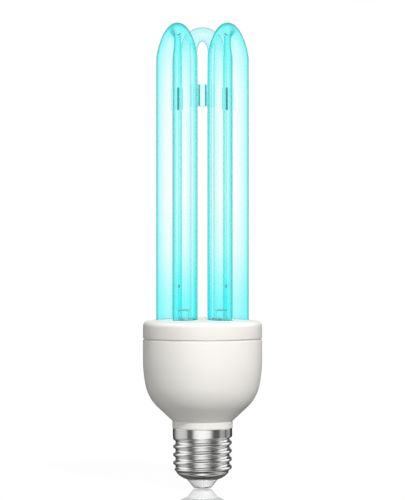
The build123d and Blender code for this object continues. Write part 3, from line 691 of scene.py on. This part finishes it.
def narrow_bend(bent, top_share):
    """Draws the half turn up to the bend's height and narrows the rod towards its top."""
    for corner in bent.data.vertices:
        rise = corner.co.z - bend_height
        if rise <= 0:
            continue
        turn = math.atan2(rise, corner.co.x)
        share = 1 - (1 - top_share) * math.sin(turn) ** BEND_NARROWING
        out = (math.hypot(corner.co.x, rise) - BEND_RADIUS) * share
        lean = Vector((BEND_HEIGHT * math.cos(turn), 0, BEND_RADIUS * math.sin(turn))).normalized()
        axis_height = bend_height + BEND_HEIGHT * math.sin(turn)
        axis_point = Vector((BEND_RADIUS * math.cos(turn), corner.co.y * share, axis_height))
        corner.co = axis_point + lean * out


def bridge(pair, radius):
    """A short level rod between two neighbouring legs."""
    first, second = pair
    run = second - first
    return begin(
        bpy.ops.mesh.primitive_cylinder_add,
        vertices=BRIDGE_SIDES,
        radius=radius,
        depth=run.length,
        location=(first + second) / 2 + UP * (leg_bottom + BRIDGE_RISE),
        rotation=run.to_track_quat("Z", "Y").to_euler(),
    )


def eased_block(size, place, edge, turn=0, segments=3):
    """A block with all its edges rounded."""
    eased = block(size, place, turn)
    open_mesh()
    bpy.ops.mesh.bevel(offset=edge, segments=segments, affect="EDGES")
    close_mesh()
    return eased


def pinch(leg):
    """The foot of a front leg, pressed flat with rounded corners."""
    place = leg + UP * (glass_low.z + PINCH_SIZE[2] / 2)
    return eased_block(PINCH_SIZE, place, PINCH_ROUND, segments=4)


def glass(name):
    """Smooth glass, still to be tinted."""
    material, tree, shader, place = new_material(name)
    shader.inputs["Transmission Weight"].default_value = 1
    shader.inputs["Roughness"].default_value = 0
    shader.inputs["IOR"].default_value = GLASS_IOR
    return material, tree, shader.inputs["Base Color"], place


def slant(tree):
    """How far a face leans away: 0 where it is met straight on, 1 at its edge."""
    return tree.nodes.new("ShaderNodeLayerWeight").outputs["Facing"]


def axes(tree, place):
    """The three coordinates of a place."""
    parts = tree.nodes.new("ShaderNodeSeparateXYZ")
    tree.links.new(place, parts.inputs["Vector"])
    return parts.outputs


def feed(tree, value, socket):
    """Links a socket to another one, or sets it to a value."""
    if isinstance(value, bpy.types.NodeSocket):
        tree.links.new(value, socket)
    else:
        socket.default_value = value


def mix(tree, share, first, second, way="MIX"):
    """A mix of two colours, each a socket or a colour."""
    node = tree.nodes.new("ShaderNodeMix")
    node.data_type = "RGBA"
    node.blend_type = way
    for name, value in (("Factor", share), ("A", first), ("B", second)):
        feed(tree, value, node.inputs[name])
    return node.outputs["Result"]


def clear_glass():
    """Glass with an aqua tint, deeper at the edge of each tube and towards its ends, with painted
    shade at the feet where the legs meet the cover.
    """
    material, tree, colour, place = glass("clear_glass")
    parts = axes(tree, place)
    low, high = GLASS_CAST_AND_SHADE_HEIGHTS[0], GLASS_CAST_AND_SHADE_HEIGHTS[-1]
    cast_and_foot_shade_stops = []
    for height, red, green in zip(GLASS_CAST_AND_SHADE_HEIGHTS, GLASS_CAST_AND_SHADE_REDS, GLASS_CAST_AND_SHADE_GREENS):
        cast_and_foot_shade_stops.append(((height - low) / (high - low), (red, green, (1 + green) / 2, 1)))
    # The height ramp holds painted shade at the feet of the legs, just above the cover.
    cast_and_foot_shade = ramp(tree, remap(tree, parts["Z"], low, high), cast_and_foot_shade_stops)
    deep = mix(tree, 1, ramp(tree, slant(tree), GLASS_SLANTS), cast_and_foot_shade, way="MULTIPLY")
    share = remap(tree, parts["Y"], *GLASS_REAR_DEPTHS, 1, GLASS_REAR_SHARE)
    tree.links.new(mix(tree, share, WHITE, deep), colour)
    return material


def bore_glass():
    """The clean inner face of the same glass."""
    material, tree, colour, place = glass("bore_glass")
    tint(tree, noise(tree, place, BORE_MOTTLE), BORE_SHADE, WHITE, colour)
    return material


def fused(bend, bridge_radius):
    """A bend, copied to stand on each pair of legs and joined by the two bridges."""
    moves = []
    for first, second in u_pairs:
        turn = math.atan2(first.y - second.y, first.x - second.x)
        moves.append(Matrix.Translation((first + second) / 2) @ Matrix.Rotation(turn, 4, "Z"))
    whole, *others = copied(bend, moves)
    for other in others:
        combine(whole, other, "UNION")
    for pair in bridge_pairs:
        combine(whole, bridge(pair, bridge_radius), "UNION")
    return whole


glass_rod = bent_rod(TUBE_RADIUS, BEND_TUBE_RADIUS, leg_bottom, LEG_END_RADIUS, LEG_END_HEIGHT)
discharge_tube = fused(glass_rod, BRIDGE_RADIUS)
discharge_tube.name = "discharge_tube_drawn"
for leg in front_legs.values():
    combine(discharge_tube, pinch(leg), "UNION")
bore_radius = TUBE_RADIUS - GLASS_WALL
bore_top_radius = BEND_TUBE_RADIUS - GLASS_WALL
bore_bottom = leg_bottom + LEG_END_HEIGHT
bore_rod = bent_rod(bore_radius, bore_top_radius, bore_bottom, bore_radius / 2, GLASS_WALL)
hollow = fused(bore_rod, BRIDGE_RADIUS - BRIDGE_WALL)
for piece, material in ((discharge_tube, clear_glass()), (hollow, bore_glass())):
    piece.data.materials.clear()
    piece.data.materials.append(material)
combine(discharge_tube, hollow, "DIFFERENCE")
finish_piece(discharge_tube, None, "clear_glass", "discharge_tube", angle=50)
discharge_tube.visible_shadow = False


# Spacers: three blocks of soft clear silicone, pushed in between the two legs of each bend.
# Their sides are hollowed to the glass, so that they hold the legs apart.
# Stiff bars of teal plastic are moulded in, and those of the rear block reach through it.
SPACER_DEPTH = 0.003
SPACER_GAP = 0.00003
SPACER_ROUND = 0.00025
SPACER_HOLLOW_SIDES = 64
SILICONE_EDGE = (0.4, 0.95, 0.96, 1)
SILICONE_ABSORBS = (0.5, 0.99, 0.993, 1)
SILICONE_DENSITY = 230
SILICONE_IOR = 1.05
SILICONE_GRAIN = 1200
SILICONE_ROUGHNESS = (0.02, 0.08)
BAR_SIZE = (0.001, 0.0013)
BAR_OFFSET = 0.0009
BAR_ROUND = 0.0002
BAR_END_INSET = 0.0001
BAR_COLOUR = (0.002, 0.26, 0.28, 1)
BAR_SHADE = (0.002, 0.21, 0.23, 1)
BAR_MOTTLE = 700
BAR_GRAIN = 1500
BAR_ROUGHNESS = (0.35, 0.5)
BAR_SPECULAR = 0.1
REAR_BAR_PROUD = 0.00003
REAR_BAR_SIZE = (0.0012, SPACER_DEPTH + 2 * REAR_BAR_PROUD)
REAR_BAR_OFFSET = 0.00161
REAR_BAR_EDGES = (0.0011, 0.0021)
REAR_BAR_PALE = (0.2, 0.82, 0.86, 1)


def silicone():
    """Clear silicone that takes on a teal tint in its depth and along its hollowed sides."""
    material, tree, shader, place = new_material("silicone")
    shader.inputs["Transmission Weight"].default_value = 1
    shader.inputs["IOR"].default_value = SILICONE_IOR
    tint(tree, slant(tree), WHITE, SILICONE_EDGE, shader.inputs["Base Color"])
    grain = noise(tree, place, SILICONE_GRAIN)
    spread(tree, grain, *SILICONE_ROUGHNESS, shader.inputs["Roughness"])
    absorb = tree.nodes.new("ShaderNodeVolumeAbsorption")
    absorb.inputs["Color"].default_value = SILICONE_ABSORBS
    absorb.inputs["Density"].default_value = SILICONE_DENSITY
    tree.links.new(absorb.outputs["Volume"], tree.nodes["Material Output"].inputs["Volume"])
    return material


def satin_plastic(name):
    """Hard plastic with a satin face, still to be coloured."""
    material, tree, shader, place = new_material(name)
    shader.inputs["Specular IOR Level"].default_value = BAR_SPECULAR
    spread(tree, noise(tree, place, BAR_GRAIN), *BAR_ROUGHNESS, shader.inputs["Roughness"])
    return material, tree, shader.inputs["Base Color"], place


def teal_bar():
    """The mottled teal of the front bars."""
    material, tree, colour, place = satin_plastic("teal_bar")
    tint(tree, noise(tree, place, BAR_MOTTLE), BAR_SHADE, BAR_COLOUR, colour)
    return material


def calc(tree, operation, first, second=0):
    """A sum on one or two values, each a socket or a number."""
    node = tree.nodes.new("ShaderNodeMath")
    node.operation = operation
    for socket, value in zip(node.inputs, (first, second)):
        feed(tree, value, socket)
    return node.outputs["Value"]


def rear_teal_bar():
    """The teal of the rear bars, paler towards the legs that they lie against."""
    material, tree, colour, place = satin_plastic("rear_teal_bar")
    out = calc(tree, "ABSOLUTE", axes(tree, place)["X"])
    across = remap(tree, out, *REAR_BAR_EDGES, *NOISE_SPAN)
    tint(tree, across, BAR_SHADE, REAR_BAR_PALE, colour)
    return material


def spacer(node, pair, material, bar_material, bar_section, bar_sides):
    """A block between two legs, with hollowed sides and stiff bars. Gives back its bars."""
    first, second = pair
    low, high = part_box(node)
    run = second - first
    height = high.z - low.z
    middle = (first + second) / 2 + UP * (low.z + high.z) / 2
    turn = math.degrees(math.atan2(run.y, run.x))
    piece = eased_block((run.length, SPACER_DEPTH, height), middle, SPACER_ROUND, turn)
    piece.name = node + "_cut"
    bottom, top = low.z - SPACER_DEPTH, high.z + SPACER_DEPTH
    for leg in pair:
        leg_rod = rod(TUBE_RADIUS + SPACER_GAP, bottom, top, leg, SPACER_HOLLOW_SIDES)
        combine(piece, leg_rod, "DIFFERENCE")
    finish_piece(piece, material, "silicone", node)
    piece.visible_shadow = False
    bars = []
    bar_size = (*bar_section, height - 2 * BAR_END_INSET)
    for side in bar_sides:
        bar = eased_block(bar_size, middle + run.normalized() * side, BAR_ROUND, turn)
        bar.name = node + ("_bar_in" if side < 0 else "_bar_out")
        finish_piece(bar, bar_material, "silicone")
        bars.append(bar)
    return bars


spacer_silicone = silicone()
spacer_bar = teal_bar()
for node, pair in zip(("spacer_left", "spacer_right"), u_pairs):
    spacer(node, pair, spacer_silicone, spacer_bar, BAR_SIZE, (-BAR_OFFSET,))
rear_bar = rear_teal_bar()
rear_sides = (-REAR_BAR_OFFSET, REAR_BAR_OFFSET)
for bar in spacer("spacer_rear", u_pairs[2], spacer_silicone, rear_bar, REAR_BAR_SIZE, rear_sides):
    bar.visible_transmission = False


# Electrodes: a coil of tungsten wire across two lead wires in the foot of each front leg.
# The leads come up through the pressed glass and are folded over the ends of the coil.
COIL_RADIUS = 0.00036
COIL_WIRE_RADIUS = 0.00007
COIL_WIRE_SIDES = 8
COIL_TURNS = 22
COIL_STEPS = 16
LEAD_RADIUS = 0.0003
LEAD_SIDES = 16
LEAD_FOOT_SPREAD = 0.0024
LEAD_KNEE_DROP = 0.006
LEAD_KNEE_RADIUS = 0.0016
LEAD_KNEE_STEPS = 8
CRIMP_SIZE = (0.0007, 0.0012, 0.0011)
CRIMP_ROUND = 0.0002
WIRE_MARKS = (3000, 3, (1, 1, 0.1))
WIRE_RELIEF = 0.000004
TUNGSTEN_COLOUR = (0.9, 0.9, 0.91, 1)
TUNGSTEN_ROUGHNESS = (0.3, 0.45)
LEAD_COLOUR = (0.9, 0.9, 0.885, 1)
LEAD_ROUGHNESS = (0.25, 0.4)


def coil(node, material):
    """A round wire wound on a helix, laid along X."""
    low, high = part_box(node)
    length = high.x - low.x - 2 * COIL_WIRE_RADIUS
    piece = begin(
        bpy.ops.mesh.primitive_circle_add,
        vertices=COIL_WIRE_SIDES,
        radius=COIL_WIRE_RADIUS,
        location=(COIL_RADIUS, 0, -length / 2),
        rotation=(math.radians(90), 0, 0),
    )
    piece.name = node + "_coil"
    winding = piece.modifiers.new("winding", "SCREW")
    winding.screw_offset = length / COIL_TURNS
    winding.iterations = COIL_TURNS
    winding.steps = COIL_STEPS
    winding.render_steps = COIL_STEPS
    bpy.ops.object.modifier_apply(modifier=winding.name)
    laid = Matrix.Rotation(math.radians(90), 4, "Y")
    piece.data.transform(Matrix.Translation((low + high) / 2) @ laid)
    open_mesh()
    bpy.ops.mesh.fill_holes(sides=COIL_WIRE_SIDES)
    close_mesh()
    finish_piece(piece, material, "tungsten", node, angle=60)


def lead_wire(foot, head, bottom):
    """A wire that stands on the board, bends over at its knee and ends in a folded tab."""
    at = foot + UP * bottom
    wire = rod_end(LEAD_RADIUS, at, LEAD_SIDES)
    knee = foot + UP * (head.z - LEAD_KNEE_DROP)
    bend_start = knee - UP * LEAD_KNEE_RADIUS
    bend_end = knee + (head - knee).normalized() * LEAD_KNEE_RADIUS
    stops = [bend_start]
    for step in range(1, LEAD_KNEE_STEPS + 1):
        share = step / LEAD_KNEE_STEPS
        stops.append(bend_start.lerp(knee, share).lerp(knee.lerp(bend_end, share), share))
    stops.append(head)
    for stop in stops:
        draw_out(stop - at, 1, at)
        at = stop
    close_mesh()
    combine(wire, eased_block(CRIMP_SIZE, head, CRIMP_ROUND), "UNION")
    return wire


tungsten = worked_metal("tungsten", TUNGSTEN_COLOUR, WIRE_MARKS, TUNGSTEN_ROUGHNESS, WIRE_RELIEF)
lead_metal = worked_metal("lead_wire", LEAD_COLOUR, WIRE_MARKS, LEAD_ROUGHNESS, WIRE_RELIEF)
for side, leg in front_legs.items():
    coil("filament_" + side, tungsten)
    coil_low, coil_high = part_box("filament_" + side)
    coil_height = (coil_low.z + coil_high.z) / 2
    wires = []
    for end, head_x in ((-1, coil_low.x + LEAD_RADIUS), (1, coil_high.x - LEAD_RADIUS)):
        foot = leg + Vector((end * LEAD_FOOT_SPREAD / 2, 0, 0))
        wires.append(lead_wire(foot, Vector((head_x, leg.y, coil_height)), board_high.z))
    combine(wires[0], wires[1], "UNION")
    wires[0].name = f"lead_wires_{side}_bent"
    finish_piece(wires[0], lead_metal, "lead_wire", "lead_wires_" + side)


# Amalgam pellets: a dull grey drop of mercury alloy on the inner wall of each front leg.
# It was pressed on the glass while soft, so its back lies flat against the wall.
pellet_low, pellet_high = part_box("amalgam_pellets")
PELLET_RADIUS = 0.0008
PELLET_THICKNESS = 0.0007
PELLET_WIDTH_SHARE = 0.5
PELLET_ANGLES = (135, 45)
PELLET_COLOUR = (0.75, 0.76, 0.77, 1)
PELLET_SHADE = (0.55, 0.56, 0.57, 1)
PELLET_PITS = (4000, 4)
PELLET_ROUGHNESS = (0.45, 0.7)
PELLET_RELIEF = 0.00002

drop = begin(
    bpy.ops.mesh.primitive_uv_sphere_add, segments=24, ring_count=16, radius=PELLET_RADIUS
)
open_mesh()
bpy.ops.mesh.bisect(plane_co=(0, 0, 0), plane_no=(1, 0, 0), use_fill=True, clear_outer=True)
bpy.ops.mesh.select_all(action="SELECT")
flat_share = PELLET_THICKNESS / PELLET_RADIUS
bpy.ops.transform.resize(value=(flat_share, PELLET_WIDTH_SHARE, 1), center_override=(0, 0, 0))
close_mesh()
pellet_moves = []
pellet_reach = math.sqrt(bore_radius**2 - PELLET_RADIUS**2)
for leg, angle in zip(front_legs.values(), PELLET_ANGLES):
    aim = Matrix.Rotation(math.radians(angle), 4, "Z")
    place = leg + aim @ Vector((pellet_reach, 0, 0)) + UP * (pellet_low.z + pellet_high.z) / 2
    pellet_moves.append(Matrix.Translation(place) @ aim)
pellets = gathered("amalgam_pellets_pressed", copied(drop, pellet_moves))
amalgam = mottled(
    "amalgam", PELLET_SHADE, PELLET_COLOUR, PELLET_PITS, PELLET_ROUGHNESS, PELLET_RELIEF, metallic=1
)
finish_piece(pellets, amalgam, "amalgam", "amalgam_pellets")


# Ballast: the circuit board and the parts that hang under it, closed in by the housing.
# The solids are the real ones, so they stay and get the finish of what they are made of.
# Each finish has a shade, a colour, the scale of its grain, its roughness and whether it is metal.
BALLAST_FINISHES = {
    "board_laminate": ((0.5, 0.36, 0.18, 1), (0.6, 0.46, 0.25, 1), 900, (0.5, 0.7), 0),
    "ferrite": ((0.05, 0.05, 0.055, 1), (0.09, 0.09, 0.095, 1), 3000, (0.5, 0.7), 0),
    "copper_winding": ((0.5, 0.2, 0.08, 1), (0.72, 0.36, 0.16, 1), 4000, (0.2, 0.35), 1),
    "capacitor_sleeve": ((0.015, 0.015, 0.02, 1), (0.03, 0.03, 0.035, 1), 800, (0.3, 0.45), 0),
    "film_dip": ((0.3, 0.06, 0.03, 1), (0.4, 0.1, 0.05, 1), 700, (0.25, 0.4), 0),
    "black_moulding": ((0.012, 0.012, 0.012, 1), (0.03, 0.03, 0.03, 1), 5000, (0.5, 0.65), 0),
    "resistor_body": ((0.3, 0.42, 0.36, 1), (0.38, 0.5, 0.44, 1), 1500, (0.4, 0.55), 0),
    "live_insulation": ((0.4, 0.02, 0.015, 1), (0.5, 0.04, 0.03, 1), 1200, (0.4, 0.5), 0),
    "neutral_insulation": ((0.015, 0.02, 0.03, 1), (0.03, 0.035, 0.05, 1), 1200, (0.4, 0.5), 0),
}
BALLAST_RELIEF = 0.00001

finishes = {}
for name, (shade, colour, scale, roughness, metallic) in BALLAST_FINISHES.items():
    finishes[name] = mottled(name, shade, colour, (scale,), roughness, BALLAST_RELIEF, metallic)
slot_of = {part["node"]: part["material_slot"] for part in frame["record"]["subparts"]}
for node, solid in frame["nodes"].items():
    if slot_of[node] in finishes:
        for material_slot in solid.material_slots:
            material_slot.material = finishes[slot_of[node]]


# Floor: a plain pale floor under the lamp's tip, seen as white.
# It keeps the lamp's shadow and, close to the tip and at a low angle, a faint reflection.
FLOOR_SIZE = 8
FLOOR_DROP = 0.0004
FLOOR_COLOUR = 0.3
FLOOR_SEEN_COLOUR = 0.95
FLOOR_WHITE = 0.94
FLOOR_SHADOW_REACH = 0.35
FLOOR_GLOSS = 0.45
FLOOR_GLOSS_ROUGHNESS = 0.03
FLOOR_GLOSS_REACH = 0.068
FLOOR_GLOSS_FADE = 0.75
FLOOR_GLOSS_SLANTS = (0.72, 0.86)


def smooth(tree, value, start, end):
    """A smooth rise from 0 to 1 as a value goes from its start to its end."""
    return remap(tree, value, start, end, course="SMOOTHSTEP")


def times(tree, first, *others):
    """The product of several values, each a socket or a number."""
    for other in others:
        first = calc(tree, "MULTIPLY", first, other)
    return first


def blend(tree, share, first, second):
    """A mix of two values, each a socket or a number."""
    rest = calc(tree, "SUBTRACT", 1, share)
    return calc(tree, "ADD", times(tree, rest, first), times(tree, share, second))


def seen_rays(tree):
    """1 for the rays that see the white surround: from the camera, or through glass."""
    path = tree.nodes.new("ShaderNodeLightPath").outputs
    return calc(tree, "MAXIMUM", path["Is Camera Ray"], path["Is Transmission Ray"])


def overlay(tree, share, under, over):
    """One shader over another, by a share."""
    node = tree.nodes.new("ShaderNodeMixShader")
    for socket, value in zip(node.inputs, (share, under, over)):
        tree.links.new(value, socket)
    return node.outputs["Shader"]


def pale_floor():
    """White where it is seen, with the lamp's shadow and a faint reflection of its tip."""
    material, tree, shader, place = new_material("pale_floor")
    tree.nodes.remove(shader)
    seen = seen_rays(tree)
    distance = tree.nodes.new("ShaderNodeVectorMath")
    distance.operation = "LENGTH"
    tree.links.new(place, distance.inputs[0])
    reach = distance.outputs["Value"]
    lit = tree.nodes.new("ShaderNodeBsdfDiffuse")
    tree.links.new(blend(tree, seen, FLOOR_COLOUR, FLOOR_SEEN_COLOUR), lit.inputs["Color"])
    glow = tree.nodes.new("ShaderNodeEmission")
    gloss = tree.nodes.new("ShaderNodeBsdfGlossy")
    gloss.inputs["Color"].default_value = WHITE
    gloss.inputs["Roughness"].default_value = FLOOR_GLOSS_ROUGHNESS
    away = smooth(tree, reach, FLOOR_SHADOW_REACH / 3, FLOOR_SHADOW_REACH)
    white = times(tree, seen, blend(tree, away, FLOOR_WHITE, 1))
    near = smooth(tree, reach, FLOOR_GLOSS_REACH, FLOOR_GLOSS_FADE * FLOOR_GLOSS_REACH)
    grazing = smooth(tree, slant(tree), *FLOOR_GLOSS_SLANTS)
    shine = times(tree, seen, near, grazing, FLOOR_GLOSS)
    surface = overlay(tree, white, lit.outputs["BSDF"], glow.outputs["Emission"])
    surface = overlay(tree, shine, surface, gloss.outputs["BSDF"])
    tree.links.new(surface, tree.nodes["Material Output"].inputs["Surface"])
    return material


floor = begin(bpy.ops.mesh.primitive_plane_add, size=FLOOR_SIZE, location=(0, 0, -FLOOR_DROP))
floor.name = "floor"
floor.visible_glossy = False
floor.data.materials.append(pale_floor())


# Room: white all round for the eye and for the glass, and a soft even light.
# Rings of pale cards with dark gaps stand round the lamp and show only in polished faces.
# A ring gives bearings in degrees from the camera's side, and how bright the card there is.
AMBIENT = 0.34
EYE_CARDS = (
    (-180, 0.2), (-140, 0.2), (-125, 0.5), (-110, 0.9), (-80, 0.8), (-68, 0.4), (-58, 0.18),
    (-42, 0.2), (-30, 0.5), (0, 0.75), (20, 0.5), (35, 0.25), (45, 0.13), (60, 0.18), (72, 0.4),
    (85, 0.9), (110, 1), (125, 0.9), (140, 0.2), (180, 0.2),
)
LEVEL_RISE = (-0.035, -0.05)
LEVEL_CARDS = (
    (-180, 0.03), (-150, 0.04), (-138, 0.15), (-117, 0.46), (-93, 0.59), (-68, 0.52), (-58, 0.17),
    (-48, 0.12), (-40, 0.25), (-23, 0.87), (0, 1), (20, 0.9), (36, 0.45), (44, 0.15), (50, 0.1),
    (64, 0.11), (70, 0.22), (82, 0.35), (95, 0.3), (103, 0.12), (111, 0.3), (124, 0.3),
    (139, 0.09), (150, 0.03), (180, 0.03),
)
HIGH_RISE = (0.13, 0.2)
HIGH_CARDS = (
    (-180, 0.1), (-140, 0.1), (-120, 0.8), (-100, 1), (-85, 1), (-76, 0.75), (-60, 0.25),
    (-42, 0.18), (-30, 0.45), (-12, 0.65), (0, 0.75), (12, 0.62), (30, 0.33), (45, 0.1), (62, 0.1),
    (75, 0.2), (85, 0.6), (95, 0.95), (125, 1), (133, 0.5), (142, 0.08), (180, 0.08),
)
TOP_RISE = (0.4, 0.55)
TOP_CARDS = (
    (-180, 0.1), (-140, 0.1), (-120, 0.8), (-100, 1), (-80, 0.9), (-66, 0.4), (-52, 0.08),
    (-30, 0.05), (0, 0.05), (30, 0.05), (52, 0.08), (66, 0.15), (80, 0.5), (95, 0.95), (125, 1),
    (133, 0.5), (142, 0.08), (180, 0.08),
)
LOW_RISE = (-0.25, -0.4)
LOW_CARDS = (
    (-180, 0.1), (-140, 0.1), (-118, 0.35), (-100, 0.4), (-80, 0.3), (-70, 0.2), (-57, 0.1),
    (-45, 0.16), (-30, 0.42), (0, 0.85), (15, 0.7), (28, 0.42), (42, 0.18), (63, 0.2), (84, 0.5),
    (108, 0.6), (125, 0.4), (140, 0.1), (180, 0.1),
)
UNDER_RISE = (-0.8, -0.9)
UNDER_DEPTH = (0.3, 0.45)
UNDER_BRIGHT = 0.03
WALL_RISE = (0.08, 0.09)
WALL_DEPTH = (0.95, 0.97)

world = bpy.data.worlds.new("studio")
world.use_nodes = True
bpy.context.scene.world = world
sky = world.node_tree
right, behind, up = axes(sky, sky.nodes.new("ShaderNodeTexCoord").outputs["Generated"])
turn = calc(sky, "ARCTAN2", right, times(sky, behind, -1))
bearing = calc(sky, "ADD", calc(sky, "DIVIDE", turn, math.tau), 0.5)


def cards(levels):
    """The brightness of a ring of cards at the bearing that is looked at."""
    ring = sky.nodes.new("ShaderNodeFloatCurve")
    points = ring.mapping.curves[0].points
    while len(points) < len(levels):
        points.new(0.5, 0.5)
    for point, (degrees, bright) in zip(points, levels):
        point.location = (degrees / 360 + 0.5, bright)
        point.handle_type = "AUTO_CLAMPED"
    ring.mapping.update()
    sky.links.new(bearing, ring.inputs["Value"])
    return ring.outputs["Value"]


room = cards(EYE_CARDS)
for rise, levels in (
    (LEVEL_RISE, LEVEL_CARDS),
    (HIGH_RISE, HIGH_CARDS),
    (LOW_RISE, LOW_CARDS),
    (TOP_RISE, TOP_CARDS),
):
    room = blend(sky, smooth(sky, up, *rise), room, cards(levels))
under = times(sky, smooth(sky, up, *UNDER_RISE), smooth(sky, behind, *UNDER_DEPTH))
room = blend(sky, under, room, UNDER_BRIGHT)
wall = times(sky, smooth(sky, behind, *WALL_DEPTH), smooth(sky, up, *WALL_RISE))
room = blend(sky, wall, room, 1)
mirrored = sky.nodes.new("ShaderNodeLightPath").outputs["Is Glossy Ray"]
light = blend(sky, seen_rays(sky), blend(sky, mirrored, AMBIENT, room), 1)
background = sky.nodes["Background"]
background.inputs["Color"].default_value = WHITE
sky.links.new(light, background.inputs["Strength"])


# Lights: soft square panels in front, above and behind, all aimed at the lamp.
# A small one near the floor lights the contact and the insulator.
LAMP_MIDDLE = (0, 0, 0.08)
LAMP_TIP = (0, 0, 0.002)


def panel_light(name, place, size, power, aim=LAMP_MIDDLE, opening=180):
    """A square soft light that faces a point and doesn't show itself."""
    data = bpy.data.lights.new(name, "AREA")
    data.size = size
    data.energy = power
    data.spread = math.radians(opening)
    panel = bpy.data.objects.new(name, data)
    panel.location = place
    panel.rotation_euler = (Vector(aim) - Vector(place)).to_track_quat("-Z", "Y").to_euler()
    panel.visible_glossy = False
    panel.visible_camera = False
    panel.visible_transmission = False
    bpy.context.scene.collection.objects.link(panel)


panel_light("key", place=(0.44, -0.905, 0.734), size=0.1, power=10)
panel_light("fill", place=(-0.3, -1.12, 0.39), size=0.6, power=3)
panel_light("top", place=(0, -0.1, 1.1), size=0.6, power=4)
panel_light("back", place=(0, 1.1, 0.25), size=0.6, power=5)
panel_light("low", place=(0.01, -0.06, 0.003), size=0.03, power=0.003, aim=LAMP_TIP, opening=40)


# Camera: level with the middle of the lamp, straight in front of it.
# Light may pass through the many walls of glass before it is lost.
CAMERA_DISTANCE = 0.95
CAMERA_HEIGHT = 0.1057
CAMERA_LENS = 153.5
GLASS_BOUNCES = 24
METAL_BOUNCES = 12

camera_data = bpy.data.cameras.new("camera")
camera_data.lens = CAMERA_LENS
camera = bpy.data.objects.new("camera", camera_data)
camera.location = (0, -CAMERA_DISTANCE, CAMERA_HEIGHT)
camera.rotation_euler = (math.radians(90), 0, 0)
scene = bpy.context.scene
scene.collection.objects.link(camera)
scene.camera = camera
scene.view_settings.view_transform = "Standard"
scene.cycles.max_bounces = GLASS_BOUNCES
scene.cycles.transmission_bounces = GLASS_BOUNCES
scene.cycles.glossy_bounces = METAL_BOUNCES
